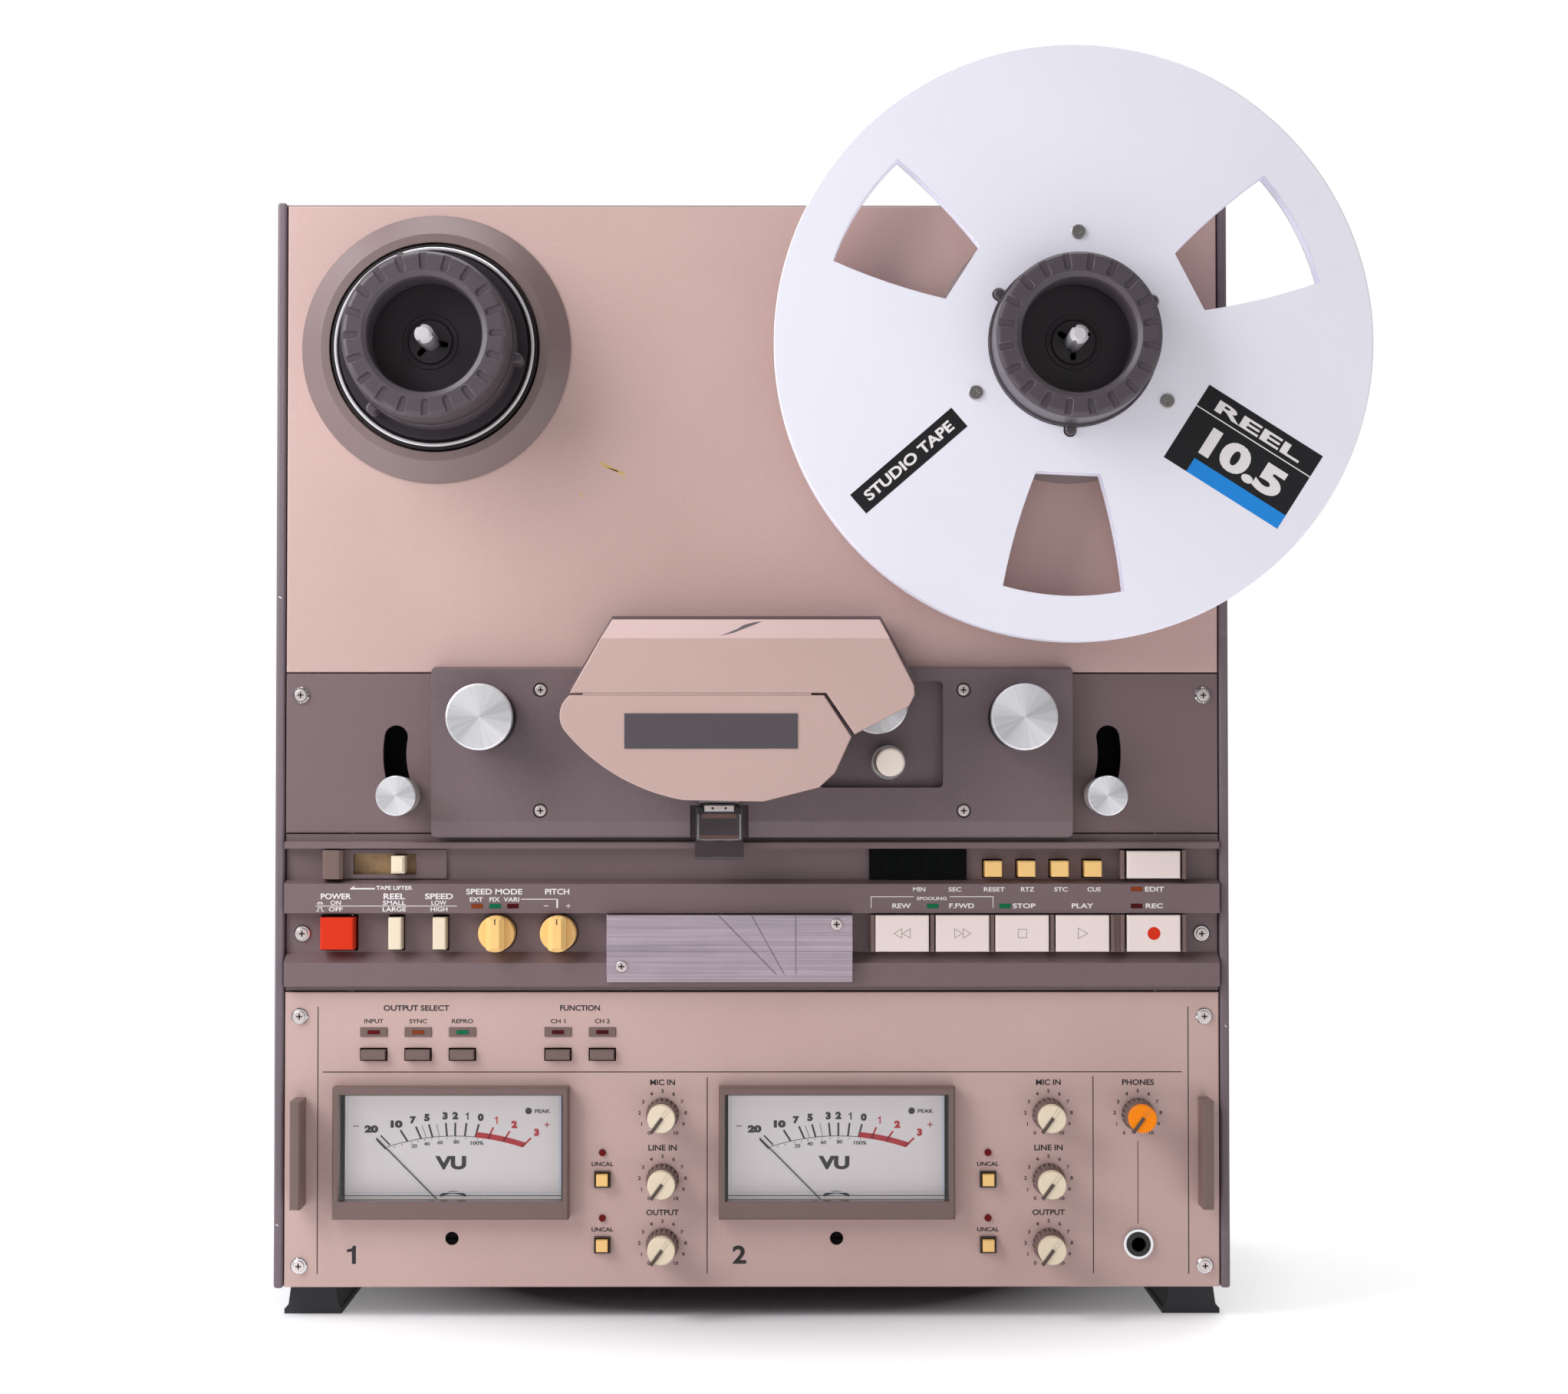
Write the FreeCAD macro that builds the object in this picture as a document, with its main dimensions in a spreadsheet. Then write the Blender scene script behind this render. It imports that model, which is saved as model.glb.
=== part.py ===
import FreeCAD, Part
import math
import os
import Sketcher

# Open-reel tape deck, millimetres, +Z up, front facing -Y.
# The frame's origin is the bottom centre of the whole machine's box, on the floor.
# Sizes below are measured from the cabinet's centre line (x), the floor (z) and the face of the
# front panels: "proud" is the distance a surface stands in front of that face, towards the user.

doc = FreeCAD.newDocument("reel_to_reel_tape_deck")

SIZES = {
    # frame
    "origin_x": -30.675, "origin_y": -90.75,
    # cabinet
    "foot_height": 13.5, "cabinet_width": 430.0, "cabinet_height": 489.0, "cabinet_depth": 225.0,
    "side_thickness": 4.2, "side_lip": 0.7, "sheet": 1.6, "panel_gap": 0.5, "rear_inset": 6.0,
    "top_vent_count": 16, "top_vent_x": -165.0, "top_vent_pitch": 22.0, "top_vent_width": 4.0,
    "top_vent_back": -195.0, "top_vent_front": -135.0, "rail_half": 4.5, "rail_back": -11.0,
    "rail_front": -7.0,
    # rear sheet
    "rear_vent_count": 12, "rear_vent_z": 330.0, "rear_vent_pitch": 12.0, "rear_vent_width": 120.0,
    "rear_vent_height": 4.0, "rear_vent_x": 95.0,
    "line_socket_count": 4, "line_socket_x": 60.0, "line_socket_pitch": 26.0, "line_socket_low": 60.0,
    "line_socket_high": 84.0, "line_flange_radius": 8.2, "line_barrel_radius": 4.6,
    "line_core_radius": 3.8, "line_pin_radius": 2.2, "line_bore": 1.6,
    "mic_socket_x": -10.0, "mic_socket_pitch": -34.0, "mic_socket_z": 72.0, "mic_nut_radius": 9.0,
    "inlet_x": -160.0, "inlet_z": 66.0, "inlet_width": 28.0, "inlet_height": 20.0, "inlet_wall": 2.5,
    "blade_pitch": 7.0, "blade_low": 64.0, "blade_high": 68.0,
    "fuse_x": -120.0, "fuse_radius": 7.0, "remote_x": 100.0, "remote_z": 130.0, "remote_width": 44.0,
    "remote_height": 14.0, "remote_slot_width": 36.0, "remote_slot_height": 2.6, "remote_slot_z": 2.6,
    "earth_x": 20.0, "earth_z": 110.0, "earth_radius": 3.0, "earth_nut_radius": 6.0,
    "rear_screw_x": 203.0, "rear_screw_radius": 3.2,
    # front panels
    "deck_bottom": 290.3, "transport_bottom": 217.9, "panel_sheet": 2.0,
    "control_bottom": 146.9, "control_top": 214.0, "tongue_face": 0.8, "tongue_back": 3.0,
    "amplifier_top": 146.3, "amplifier_bottom": 14.0,
    "panel_screw_x": 203.6, "panel_screw_radius": 2.7, "panel_washer_radius": 3.75,
    "panel_screw_hole": 2.2, "transport_screw_z": 280.0, "amplifier_screw_high": 135.4,
    "amplifier_screw_low": 23.6,
    # hubs
    "hub_x": 143.0, "hub_z": 436.5,
    "trim_radius": 60.7, "trim_step_radius": 51.4, "trim_height": 8.0, "trim_bore": 47.4,
    "table_radius": 46.5, "table_back": 2.0, "table_front": 9.4, "chrome_radius": 45.0,
    "spindle_radius": 4.2, "spindle_front": 51.5, "motor_shaft_radius": 5.0,
    "shaft_clearance": 0.06, "spindle_end": 74.0,
    "adapter_back": 6.9, "adapter_flange_radius": 42.2, "adapter_flange": 6.5,
    "adapter_body_radius": 37.8, "ring_back": 28.4, "ring_front": 50.0, "ring_radius": 36.4,
    "recess_radius": 25.0, "recess_floor": 24.0, "lug_tip": 41.8, "lug_width": 4.6, "lug_front": 28.0,
    "rib_count": 20, "rib_inner": 28.4, "rib_width": 3.4, "rib_depth": 0.8,
    "hub_boss_radius": 10.0,
    # reel, 10.5 inch with a 3 inch bore
    "reel_radius": 133.35, "reel_bore": 38.1, "reel_core": 57.15, "flange_thickness": 1.4,
    "reel_back": 13.6, "reel_front": 25.5, "window_inner": 60.0, "window_outer": 113.0,
    "window_half_angle": 13.8, "window_bulge": 1.3, "reel_turn": 27.5,
    "slot_reach": 42.4, "slot_width": 5.8, "reel_screw_circle": 49.2, "reel_screw_radius": 3.3,
    # tension arms
    "arm_pivot_x": 117.5, "arm_pivot_z": 253.5, "arm_length": 43.8, "arm_rest_angle": 25.0,
    "arm_swing": 35.0, "arm_slot_width": 10.5, "arm_cap_radius": 8.8, "arm_cap_back": 23.0,
    "arm_cap_front": 30.0, "arm_post_radius": 3.0, "arm_sleeve_radius": 6.4,
    "arm_hub_radius": 7.0, "arm_lever_width": 8.0, "lever_back": -8.0,
    # head block
    "plate_half_width": 144.0, "plate_bottom": 216.0, "plate_top": 292.6, "plate_proud": 8.0,
    "plate_bevel_rise": 7.2, "plate_screw_x": 95.0, "plate_screw_low": 228.0,
    "plate_screw_high": 282.2, "plate_screw_radius": 2.6,
    "roller_x": 120.0, "roller_z": 269.7, "roller_radius": 14.75, "roller_body_radius": 13.4,
    "roller_back": 9.0, "roller_front": 36.0,
    "pocket_left": 30.0, "pocket_right": 85.6, "pocket_low": 238.4, "pocket_high": 286.2,
    "pocket_floor": 3.0, "head_z": 252.0, "head_nose_radius": 11.0, "head_front": 30.0,
    "post_radius": 2.2, "collar_radius": 3.6, "post_front": 27.0,
    "capstan_x": 61.1, "capstan_z": 249.8, "capstan_radius": 3.1, "capstan_cap_radius": 6.3,
    "capstan_front": 31.0, "flywheel_radius": 36.0, "flywheel_back": 78.0, "flywheel_thickness": 14.0,
    "pinch_x": 55.7, "pinch_z": 275.9, "pinch_radius": 13.6, "pinch_back": 13.2, "pinch_front": 24.0,
    "pinch_pivot_x": 18.0, "pinch_pivot_z": 284.0, "pinch_hub_radius": 6.5, "pinch_pin_radius": 3.0,
    "pinch_lever_width": 9.0, "pinch_lever_back": 9.0,
    "shield_x": -14.7, "shield_hinge_z": 229.6, "shield_width": 20.6, "shield_lip_width": 22.0,
    "shield_bottom": 206.2, "shield_front": 13.0,
    # head cover
    "cover_front": 42.2, "cover_wall": 2.0, "cover_back": 11.0, "door_depth": 10.0,
    "seam_z": 279.6, "seam_gap": 0.5, "door_hinge_proud": 41.6, "cover_bevel_rise": 8.6,
    "cover_bevel_depth": 6.0,
    "nameplate_left": -55.8, "nameplate_right": 20.0, "nameplate_low": 255.7, "nameplate_high": 271.1,
    # control panel
    "channel_floor": -3.0, "strip_proud": 4.0, "lip_low": 210.6, "upper_channel_low": 196.9,
    "strip_high": 195.1, "strip_low": 181.3, "lower_channel_low": 164.1, "slope_low": 159.6,
    "groove_high": 149.0, "control_screw_x": 203.0, "control_screw_z": 172.4,
    "key_width": 24.0, "key_height": 16.8, "key_front": 6.0, "key_middle": 172.9,
    "divider_width": 1.9, "divider_front": 5.0,
    "edit_height": 12.9, "counter_middle": 203.7, "counter_button_width": 7.7,
    "counter_button_height": 7.1, "counter_button_z": 201.8,
    "display_left": 52.8, "display_right": 96.8, "display_low": 197.0, "display_high": 210.4,
    "lifter_left": -193.9, "lifter_right": -137.9, "lifter_slot_left": -180.0,
    "lifter_slot_right": -151.7, "lifter_slot_low": 199.1, "lifter_slot_high": 208.4,
    "lifter_knob_x": -159.2, "lifter_knob_width": 6.1, "lifter_knob_height": 7.9, "lifter_travel": 17.0,
    "mode_knob_x": -114.9, "pitch_knob_x": -87.2, "mode_knob_radius": 8.1, "mode_knob_front": 12.0,
    "block_left": -65.2, "block_right": 45.0, "block_low": 154.5, "block_high": 181.6,
    "block_front": 9.0, "tape_groove_low": 164.9, "tape_groove_high": 171.4, "tape_groove_depth": 0.5,
    # amplifier panel
    "amplifier_sheet": 3.0, "handle_x": 203.0, "handle_low": 51.0, "handle_high": 99.1,
    "handle_width": 4.6, "handle_front": 17.5, "handle_recess": 2.6,
    "light_z": 128.3, "light_width": 12.2, "light_height": 4.1, "select_button_z": 118.3,
    "select_button_width": 10.9, "select_button_height": 4.5, "select_front": 3.2,
    "output_button_x": -170.3, "output_button_pitch": 19.95, "function_button_x": -87.4,
    "meter_one_x": -134.9, "meter_two_x": 38.0, "meter_z": 74.8, "bezel_width": 105.8,
    "bezel_height": 59.0, "bezel_front": 8.0, "glass_width": 100.4, "glass_height": 47.6,
    "glass_z": 77.2, "needle_pivot_z": 45.6, "needle_length": 49.0, "zero_screw_z": 35.8,
    "case_low": 40.0, "case_high": 101.8, "dial_depth": 4.2, "needle_back": -3.8, "needle_sheet": 0.5,
    "uncal_one_x": -67.3, "uncal_two_x": 106.1, "uncal_high_z": 62.3, "uncal_low_z": 33.0,
    "uncal_size": 7.4, "uncal_lamp_rise": 11.9, "uncal_front": 5.0,
    "level_one_x": -40.3, "level_two_x": 133.4, "level_high_z": 91.4, "level_middle_z": 62.1,
    "level_low_z": 33.1, "phones_x": 173.6, "phones_z": 91.4,
    "level_skirt_radius": 7.4, "level_cap_radius": 6.2, "level_front": 19.0, "level_collar": 11.5,
    "jack_z": 33.3, "jack_bore": 3.2, "jack_ring": 6.7, "jack_depth": 30.0,
    # feet
    "foot_width": 26.0, "foot_length": 190.0, "foot_outer_x": 212.0, "foot_setback": 12.0,
    # inside
    "screw_shank": 1.5, "screw_hole": 1.6,
    "motor_radius": 41.0, "motor_back": 72.0, "motor_front": 14.0,
    "frame_half_width": 196.0, "frame_low": 224.0, "frame_high": 494.0, "frame_depth": 13.0,
    "frame_thickness": 3.0, "board_sheet": 1.6, "control_board_back": -26.6,
    "amplifier_board_back": -46.6, "power_board_back": -150.0,
}

sheet = doc.addObject("Spreadsheet::Sheet", "dims")
for row, (name, number) in enumerate(SIZES.items(), start=1):
    sheet.set("A%d" % row, name)
    sheet.set("B%d" % row, str(number))
    sheet.setAlias("B%d" % row, name)
doc.recompute()

# ---------------------------------------------------------------- sizes and places

TO_FRONT = FreeCAD.Rotation(FreeCAD.Vector(1, 0, 0), 90)   # local x, y, z -> right, up, towards the user
NO_TURN = FreeCAD.Rotation()
FLAT = 0.01   # an edge that strays less than this from a plane lies in it
NODES = []


def dim(name):
    """A driving size, read back from the sheet."""
    return float(sheet.get(name))


def formula(text):
    """A sum of sheet names and numbers, written the way the sheet reads it."""
    words = []
    for word in str(text).split():
        sign = ""
        if word[0] == "-" and len(word) > 1:
            sign = "-"
            word = word[1:]
        words.append(sign + ("dims." + word if word[0].isalpha() else word))
    return " ".join(words)


def amount(text):
    """The number that a sum of sheet names and numbers comes to now."""
    total = 0.0
    for signed in str(text).replace(" - ", " + -").split(" + "):
        sign = -1.0 if signed.startswith("-") else 1.0
        product = 1.0
        divide = False
        for word in signed.lstrip("-").split():
            if word in ("*", "/"):
                divide = word == "/"
                continue
            number = dim(word) if word[0].isalpha() else float(word)
            product = product / number if divide else product * number
        total += sign * product
    return total


def bind(item, **sizes):
    """Tie properties of an object to the sheet."""
    for name, text in sizes.items():
        item.setExpression(name, formula(text))


def place(item, x, z, proud="0", rotation=TO_FRONT):
    """Stand an object on the front elevation, its own z axis towards the user."""
    item.Placement = FreeCAD.Placement(FreeCAD.Vector(0, 0, 0), rotation)
    item.setExpression("Placement.Base.x", formula("origin_x + ( %s )" % x))
    item.setExpression("Placement.Base.y", formula("origin_y - ( %s )" % proud))
    item.setExpression("Placement.Base.z", formula(z))
    return item


def node(item, label):
    """Mark an object as one sub-part; its label names its file."""
    item.Label = label
    NODES.append(item)
    return item


# ---------------------------------------------------------------- primitives and booleans

def block(name, x, z, width, height, back, front):
    """A rectangular bar centred on x, z that runs from one proud distance to another."""
    item = doc.addObject("Part::Box", name)
    bind(item, Length=width, Width=height, Height="( %s ) - ( %s )" % (front, back))
    corner_x = "( %s ) - ( %s ) / 2" % (x, width)
    corner_z = "( %s ) - ( %s ) / 2" % (z, height)
    return place(item, corner_x, corner_z, back)


def bar(name, left, right, low, high, back, front):
    """A rectangular bar given by its edges."""
    item = doc.addObject("Part::Box", name)
    width = "( %s ) - ( %s )" % (right, left)
    height = "( %s ) - ( %s )" % (high, low)
    bind(item, Length=width, Width=height, Height="( %s ) - ( %s )" % (front, back))
    return place(item, left, low, back)


def rod(name, x, z, radius, back, front):
    """A round bar pointing at the user."""
    item = doc.addObject("Part::Cylinder", name)
    bind(item, Radius=radius, Height="( %s ) - ( %s )" % (front, back))
    return place(item, x, z, back)


def join(name, items):
    """One solid made of several that overlap."""
    item = doc.addObject("Part::MultiFuse", name)
    item.Shapes = items
    return item


def group(name, items):
    """Separate solids that share one node."""
    item = doc.addObject("Part::Compound", name)
    item.Links = items
    return item


def cut(name, base, tools):
    """A base with every tool taken out of it."""
    item = doc.addObject("Part::Cut", name)
    item.Base = base
    item.Tool = tools[0] if len(tools) == 1 else join(name + "_tools", tools)
    return item


def tube(name, x, z, outer, inner, back, front):
    """A ring or sleeve pointing at the user."""
    deep = "( %s ) - 1" % back
    tall = "( %s ) + 1" % front
    return cut(name, rod(name + "_outer", x, z, outer, back, front),
               [rod(name + "_bore", x, z, inner, deep, tall)])


def eased(name, base, size, chosen, bevel=False):
    """A base with the chosen edges rounded, or bevelled, by a named size."""
    doc.recompute()
    item = doc.addObject("Part::Chamfer" if bevel else "Part::Fillet", name)
    item.Base = base
    picks = [index for index, edge in enumerate(base.Shape.Edges, start=1) if chosen(edge)]
    item.Edges = [(index, size, size) for index in picks]
    return item


def soften_front(name, base, size, bevel=False):
    """Ease every edge around the face nearest the user."""
    doc.recompute()
    plane = base.Shape.BoundBox.YMin

    def in_front(edge):
        return edge.BoundBox.YLength < FLAT and abs(edge.BoundBox.YMin - plane) < FLAT

    return eased(name, base, size, in_front, bevel)


# ---------------------------------------------------------------- sketched bodies

def new_body(name):
    return doc.addObject("PartDesign::Body", name)


def new_sketch(body, role="XY_Plane"):
    """A sketch on one of the body's own origin planes."""
    sketch = body.newObject("Sketcher::SketchObject", body.Name + "_sketch")
    plane = [feature for feature in body.Origin.OriginFeatures if feature.Role == role][0]
    sketch.AttachmentSupport = [(plane, "")]
    sketch.MapMode = "FlatFace"
    return sketch


def hold(sketch, curve, end, across, up):
    """Fix one end of a sketch curve at a place given by sheet formulas."""
    for kind, axis, text in (("DistanceX", -2, across), ("DistanceY", -1, up)):
        if abs(amount(text)) < 1e-9:
            sketch.addConstraint(Sketcher.Constraint("PointOnObject", curve, end, axis))
            continue
        index = sketch.addConstraint(Sketcher.Constraint(kind, -1, 1, curve, end, amount(text)))
        sketch.setExpression("Constraints[%d]" % index, formula(text))


def outline(sketch, points):
    """A closed outline; a point is (across, up), or (across, up, through) to arrive by an arc."""
    count = len(points)
    spots = [FreeCAD.Vector(amount(point[0]), amount(point[1]), 0) for point in points]
    first = sketch.GeometryCount
    for index in range(count):
        after = (index + 1) % count
        if len(points[after]) == 3:
            through = points[after][2]
            middle = FreeCAD.Vector(amount(through[0]), amount(through[1]), 0)
            sketch.addGeometry(Part.Arc(spots[index], middle, spots[after]))
        else:
            sketch.addGeometry(Part.LineSegment(spots[index], spots[after]))
    for index in range(count):
        curve = first + index
        start = 1
        if len(points[(index + 1) % count]) == 3:
            ends = sketch.Geometry[curve].StartPoint
            start = 1 if (ends - spots[index]).Length < 1e-6 else 2
        hold(sketch, curve, start, points[index][0], points[index][1])
        after = (index + 1) % count
        hold(sketch, curve, 3 - start, points[after][0], points[after][1])


def circle(sketch, across, up, radius):
    """A circle held by its centre and radius."""
    centre = FreeCAD.Vector(amount(across), amount(up), 0)
    curve = sketch.addGeometry(Part.Circle(centre, FreeCAD.Vector(0, 0, 1), amount(radius)))
    hold(sketch, curve, 3, across, up)
    index = sketch.addConstraint(Sketcher.Constraint("Radius", curve, amount(radius)))
    sketch.setExpression("Constraints[%d]" % index, formula(radius))


def turned(name, profile):
    """A body of revolution about its own z axis; the profile lists (radius, height) points."""
    body = new_body(name)
    sketch = new_sketch(body, "XZ_Plane")
    outline(sketch, profile)
    turn = body.newObject("PartDesign::Revolution", name + "_turn")
    turn.Profile = sketch
    turn.ReferenceAxis = (sketch, ["V_Axis"])
    turn.Angle = 360
    body.Tip = turn
    doc.recompute()
    return body


def padded(name, points, length, holes=()):
    """A body padded from an outline on its own xy plane, with round holes (across, up, radius)."""
    body = new_body(name)
    sketch = new_sketch(body)
    outline(sketch, points)
    for hole in holes:
        circle(sketch, *hole)
    pad = body.newObject("PartDesign::Pad", name + "_pad")
    pad.Profile = sketch
    bind(pad, Length=length)
    body.Tip = pad
    doc.recompute()
    return body


def pocketed(body, points, depth, name, height="0"):
    """Cut a pocket of a given depth into a body, starting at a height above its xy plane."""
    before = body.Shape.Volume
    sketch = new_sketch(body)
    sketch.AttachmentOffset = FreeCAD.Placement(FreeCAD.Vector(0, 0, amount(height)), NO_TURN)
    doc.recompute()
    outline(sketch, points)
    pocket = body.newObject("PartDesign::Pocket", name)
    pocket.Profile = sketch
    pocket.Reversed = True
    bind(pocket, Length=depth)
    body.Tip = pocket
    doc.recompute()
    if body.Shape.Volume > before - 1e-3:
        raise RuntimeError("the pocket %s cut nothing" % name)
    return pocket


def around(body, feature, count):
    """Repeat a feature about the body's z axis."""
    pattern = body.newObject("PartDesign::PolarPattern", feature.Name + "_ring")
    pattern.Originals = [feature]
    z_axis = [item for item in body.Origin.OriginFeatures if item.Role == "Z_Axis"][0]
    pattern.Axis = (z_axis, [""])
    pattern.Angle = 360
    pattern.Occurrences = int(count)
    body.Tip = pattern
    doc.recompute()
    return pattern


def edge_names(solid, chosen):
    """Names of the edges for which the test holds."""
    return ["Edge%d" % index for index, edge in enumerate(solid.Shape.Edges, start=1) if chosen(edge)]


def dress(body, name, radius, chosen):
    """Round the chosen edges of a body."""
    base = body.Tip
    edges = edge_names(base, chosen)
    feature = body.newObject("PartDesign::Fillet", name)
    feature.Base = (base, edges)
    feature.Radius = radius
    body.Tip = feature
    doc.recompute()
    return feature


def top_edge(height):
    """A test for edges that lie flat at a height of the body's own z axis."""
    return lambda edge: edge.BoundBox.ZLength < FLAT and abs(edge.BoundBox.ZMin - height) < FLAT


def cross_rod(name, x, z, proud, radius, length):
    """A round bar lying across the machine, centred on x."""
    item = doc.addObject("Part::Cylinder", name)
    bind(item, Radius=radius, Height=length)
    left = "( %s ) - ( %s ) / 2" % (x, length)
    return place(item, left, z, proud, FreeCAD.Rotation(FreeCAD.Vector(0, 1, 0), 90))


def extruded(name, profile, width, x="0"):
    """A body with one cross-section all the way across; profile points are (depth, height)."""
    body = new_body(name)
    sketch = new_sketch(body, "YZ_Plane")
    outline(sketch, profile)
    pad = body.newObject("PartDesign::Pad", name + "_pad")
    pad.Profile = sketch
    pad.Midplane = True
    bind(pad, Length=width)
    body.Tip = pad
    place(body, x, "0", "0", NO_TURN)
    doc.recompute()
    return body


def spin(degrees):
    """Facing the user, turned by an angle seen from the front."""
    return TO_FRONT * FreeCAD.Rotation(FreeCAD.Vector(0, 0, 1), degrees)


def polar(x, z, radius, degrees):
    """A place on a circle about x, z, as sheet formulas with the numbers worked out."""
    across = radius * math.cos(math.radians(degrees))
    up = radius * math.sin(math.radians(degrees))
    return "%s + %.4f" % (x, across), "%s + %.4f" % (z, up)


# ---------------------------------------------------------------- cabinet

PANEL_HALF = "cabinet_width / 2 - side_thickness - panel_gap"


def cabinet_shell():
    """Two side panels, the top cover with its vents, the bottom cover and four screw rails."""
    top = "foot_height + cabinet_height"
    outer = "cabinet_width / 2"
    inner = "cabinet_width / 2 - side_thickness"
    pieces = []
    for name, left, right in (("left_side", "-" + outer, "( side_thickness - cabinet_width / 2 )"),
                              ("right_side", inner, outer)):
        side = bar(name, left, right, "foot_height", top + " + side_lip", "-cabinet_depth", "side_lip")
        pieces.append(eased(name + "_eased", side, 1.3, lambda edge: True))
    low = "( side_thickness - cabinet_width / 2 )"
    behind = "-rear_inset"
    rear = "rear_inset - cabinet_depth + sheet"
    cover = bar("top_cover", low, inner, top + " - sheet", top, rear, "-panel_sheet - 0.2")
    vents = []
    for index in range(int(dim("top_vent_count"))):
        across = "top_vent_x + %d * top_vent_pitch" % index
        vents.append(bar("top_vent_%d" % index, across, across + " + top_vent_width", top + " - 5",
                         top + " + 5", "top_vent_back", "top_vent_front"))
    pieces.append(cut("top_cover_vented", cover, vents))
    pieces.append(bar("bottom_cover", low, inner, "foot_height", "foot_height + sheet", rear, "-4"))
    for side in (-1, 1):
        for name, z_low, z_high in (("upper", "control_bottom", top + " - 3"),
                                    ("lower", "amplifier_bottom + 3", "amplifier_top")):
            x = "%d * panel_screw_x" % side
            pieces.append(bar("rail_%s_%d" % (name, side), x + " - rail_half", x + " + rail_half",
                              z_low, z_high, "rail_back", "rail_front"))
    return node(group("shell_pieces", pieces), "cabinet_shell")


def rear_hole(name, x, z, width, height):
    return block(name, x, z, width, height, "-cabinet_depth", "rear_inset - cabinet_depth + 10")


def line_socket(name, x, z, face):
    """A phono socket's flange, barrel, core and centre sleeve, and the hole it sits in."""
    pieces = [tube(name + "_flange", x, z, "line_flange_radius", "line_barrel_radius + 0.3",
                   face + " - 1.2", face),
              tube(name + "_barrel", x, z, "line_barrel_radius", "line_core_radius + 0.1", face + " - 9",
                   face + " + 6"),
              rod(name + "_core", x, z, "line_core_radius", face + " - 2", face + " + 6"),
              tube(name + "_pin", x, z, "line_pin_radius", "line_bore", face + " - 8.4", face + " - 2")]
    return pieces, rod(name + "_hole", x, z, "line_barrel_radius + 0.4", face + " - 4", face + " + 8")


def rear_panel():
    """The rear sheet with its vents, sockets, mains inlet, fuse holder and earth post."""
    face = "rear_inset - cabinet_depth"
    inner = "cabinet_width / 2 - side_thickness - panel_gap"
    low = "foot_height + 0.4"
    high = "foot_height + cabinet_height - 0.4"
    plate = bar("rear_sheet", "-( " + inner + " )", inner, low, high, face, face + " + sheet")
    holes = []
    pieces = []
    for row in range(int(dim("rear_vent_count"))):
        z = "rear_vent_z + %d * rear_vent_pitch" % row
        for side, x in (("left", "-rear_vent_x"), ("right", "rear_vent_x")):
            holes.append(rear_hole("vent_%s_%d" % (side, row), x, z, "rear_vent_width", "rear_vent_height"))
    for index in range(int(dim("line_socket_count"))):
        for row, z in enumerate(("line_socket_low", "line_socket_high")):
            socket, hole = line_socket("line_socket_%d_%d" % (index, row),
                                       "line_socket_x + %d * line_socket_pitch" % index, z, face)
            pieces += socket
            holes.append(hole)
    for index in range(2):
        x = "mic_socket_x + %d * mic_socket_pitch" % index
        name = "microphone_socket_%d" % index
        holes.append(rod(name + "_hole", x, "mic_socket_z", "mic_nut_radius + 0.4", face + " - 4",
                         face + " + 12"))
        pieces.append(tube(name + "_nut", x, "mic_socket_z", "mic_nut_radius", "jack_bore",
                           face + " - 3", face + " + 20"))
    holes.append(rear_hole("inlet_hole", "inlet_x", "inlet_z", "inlet_width + 0.6", "inlet_height + 0.6"))
    inlet = block("inlet_body", "inlet_x", "inlet_z", "inlet_width", "inlet_height", face + " - 2.5",
                  face + " + 18")
    well = block("inlet_well", "inlet_x", "inlet_z", "inlet_width - 2 * inlet_wall",
                 "inlet_height - 2 * inlet_wall", face + " - 4", face + " + 14")
    pieces.append(cut("mains_inlet", inlet, [well]))
    for index, z in ((-1, "blade_low"), (0, "blade_high"), (1, "blade_low")):
        pieces.append(block("inlet_blade_%d" % index, "inlet_x + %d * blade_pitch" % index, z, "2", "5",
                            face + " - 1", face + " + 14"))
    holes.append(rod("fuse_hole", "fuse_x", "inlet_z", "fuse_radius + 0.2", face + " - 4", face + " + 12"))
    pieces.append(rod("fuse_holder", "fuse_x", "inlet_z", "fuse_radius", face + " - 11", face + " + 24"))
    holes.append(rear_hole("remote_hole", "remote_x", "remote_z", "remote_width + 0.6",
                           "remote_height + 0.6"))
    remote = block("remote_body", "remote_x", "remote_z", "remote_width", "remote_height", face + " - 4",
                   face + " + 12")
    slots = [block("remote_slot_%d" % side, "remote_x", "remote_z + %d * remote_slot_z" % side,
                   "remote_slot_width", "remote_slot_height", face + " - 5", face + " + 2")
             for side in (-1, 1)]
    pieces.append(cut("remote_socket", remote, slots))
    pieces.append(rod("earth_post", "earth_x", "earth_z", "earth_radius", face + " - 14", face))
    pieces.append(tube("earth_nut", "earth_x", "earth_z", "earth_nut_radius", "earth_radius + 0.05",
                       face + " - 10", face + " - 5"))
    pieces.insert(0, cut("rear_sheet_cut", plate, holes))
    return node(group("rear_pieces", pieces), "rear_panel")


def skid_feet():
    """Two moulded skids, each with a raised heel and a thin lip along the floor."""
    pieces = []
    for side in (-1, 1):
        name = "skid_%d" % side
        outer = side * dim("foot_outer_x")
        inner = outer - side * dim("foot_width")
        top = dim("foot_height")
        points = [(outer, 0), (outer, 2.2), (outer - side * 1.6, 3.4), (outer - side * 3.0, top),
                  (inner + side * 2.5, top), (inner + side * 0.8, 3.4), (inner, 2.2), (inner, 0)]
        body = padded(name, [(str(across), str(up)) for across, up in points], "foot_length")
        dress(body, name + "_soft", 1.0,
              lambda edge: edge.BoundBox.ZLength < FLAT and edge.BoundBox.ZMin > dim("foot_length") - 0.01
              and edge.BoundBox.YMin > 3.3)
        place(body, "0", "0", "-foot_setback - foot_length")
        pieces.append(body)
    return node(group("feet_pieces", pieces), "feet")


# ---------------------------------------------------------------- front panels

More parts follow.
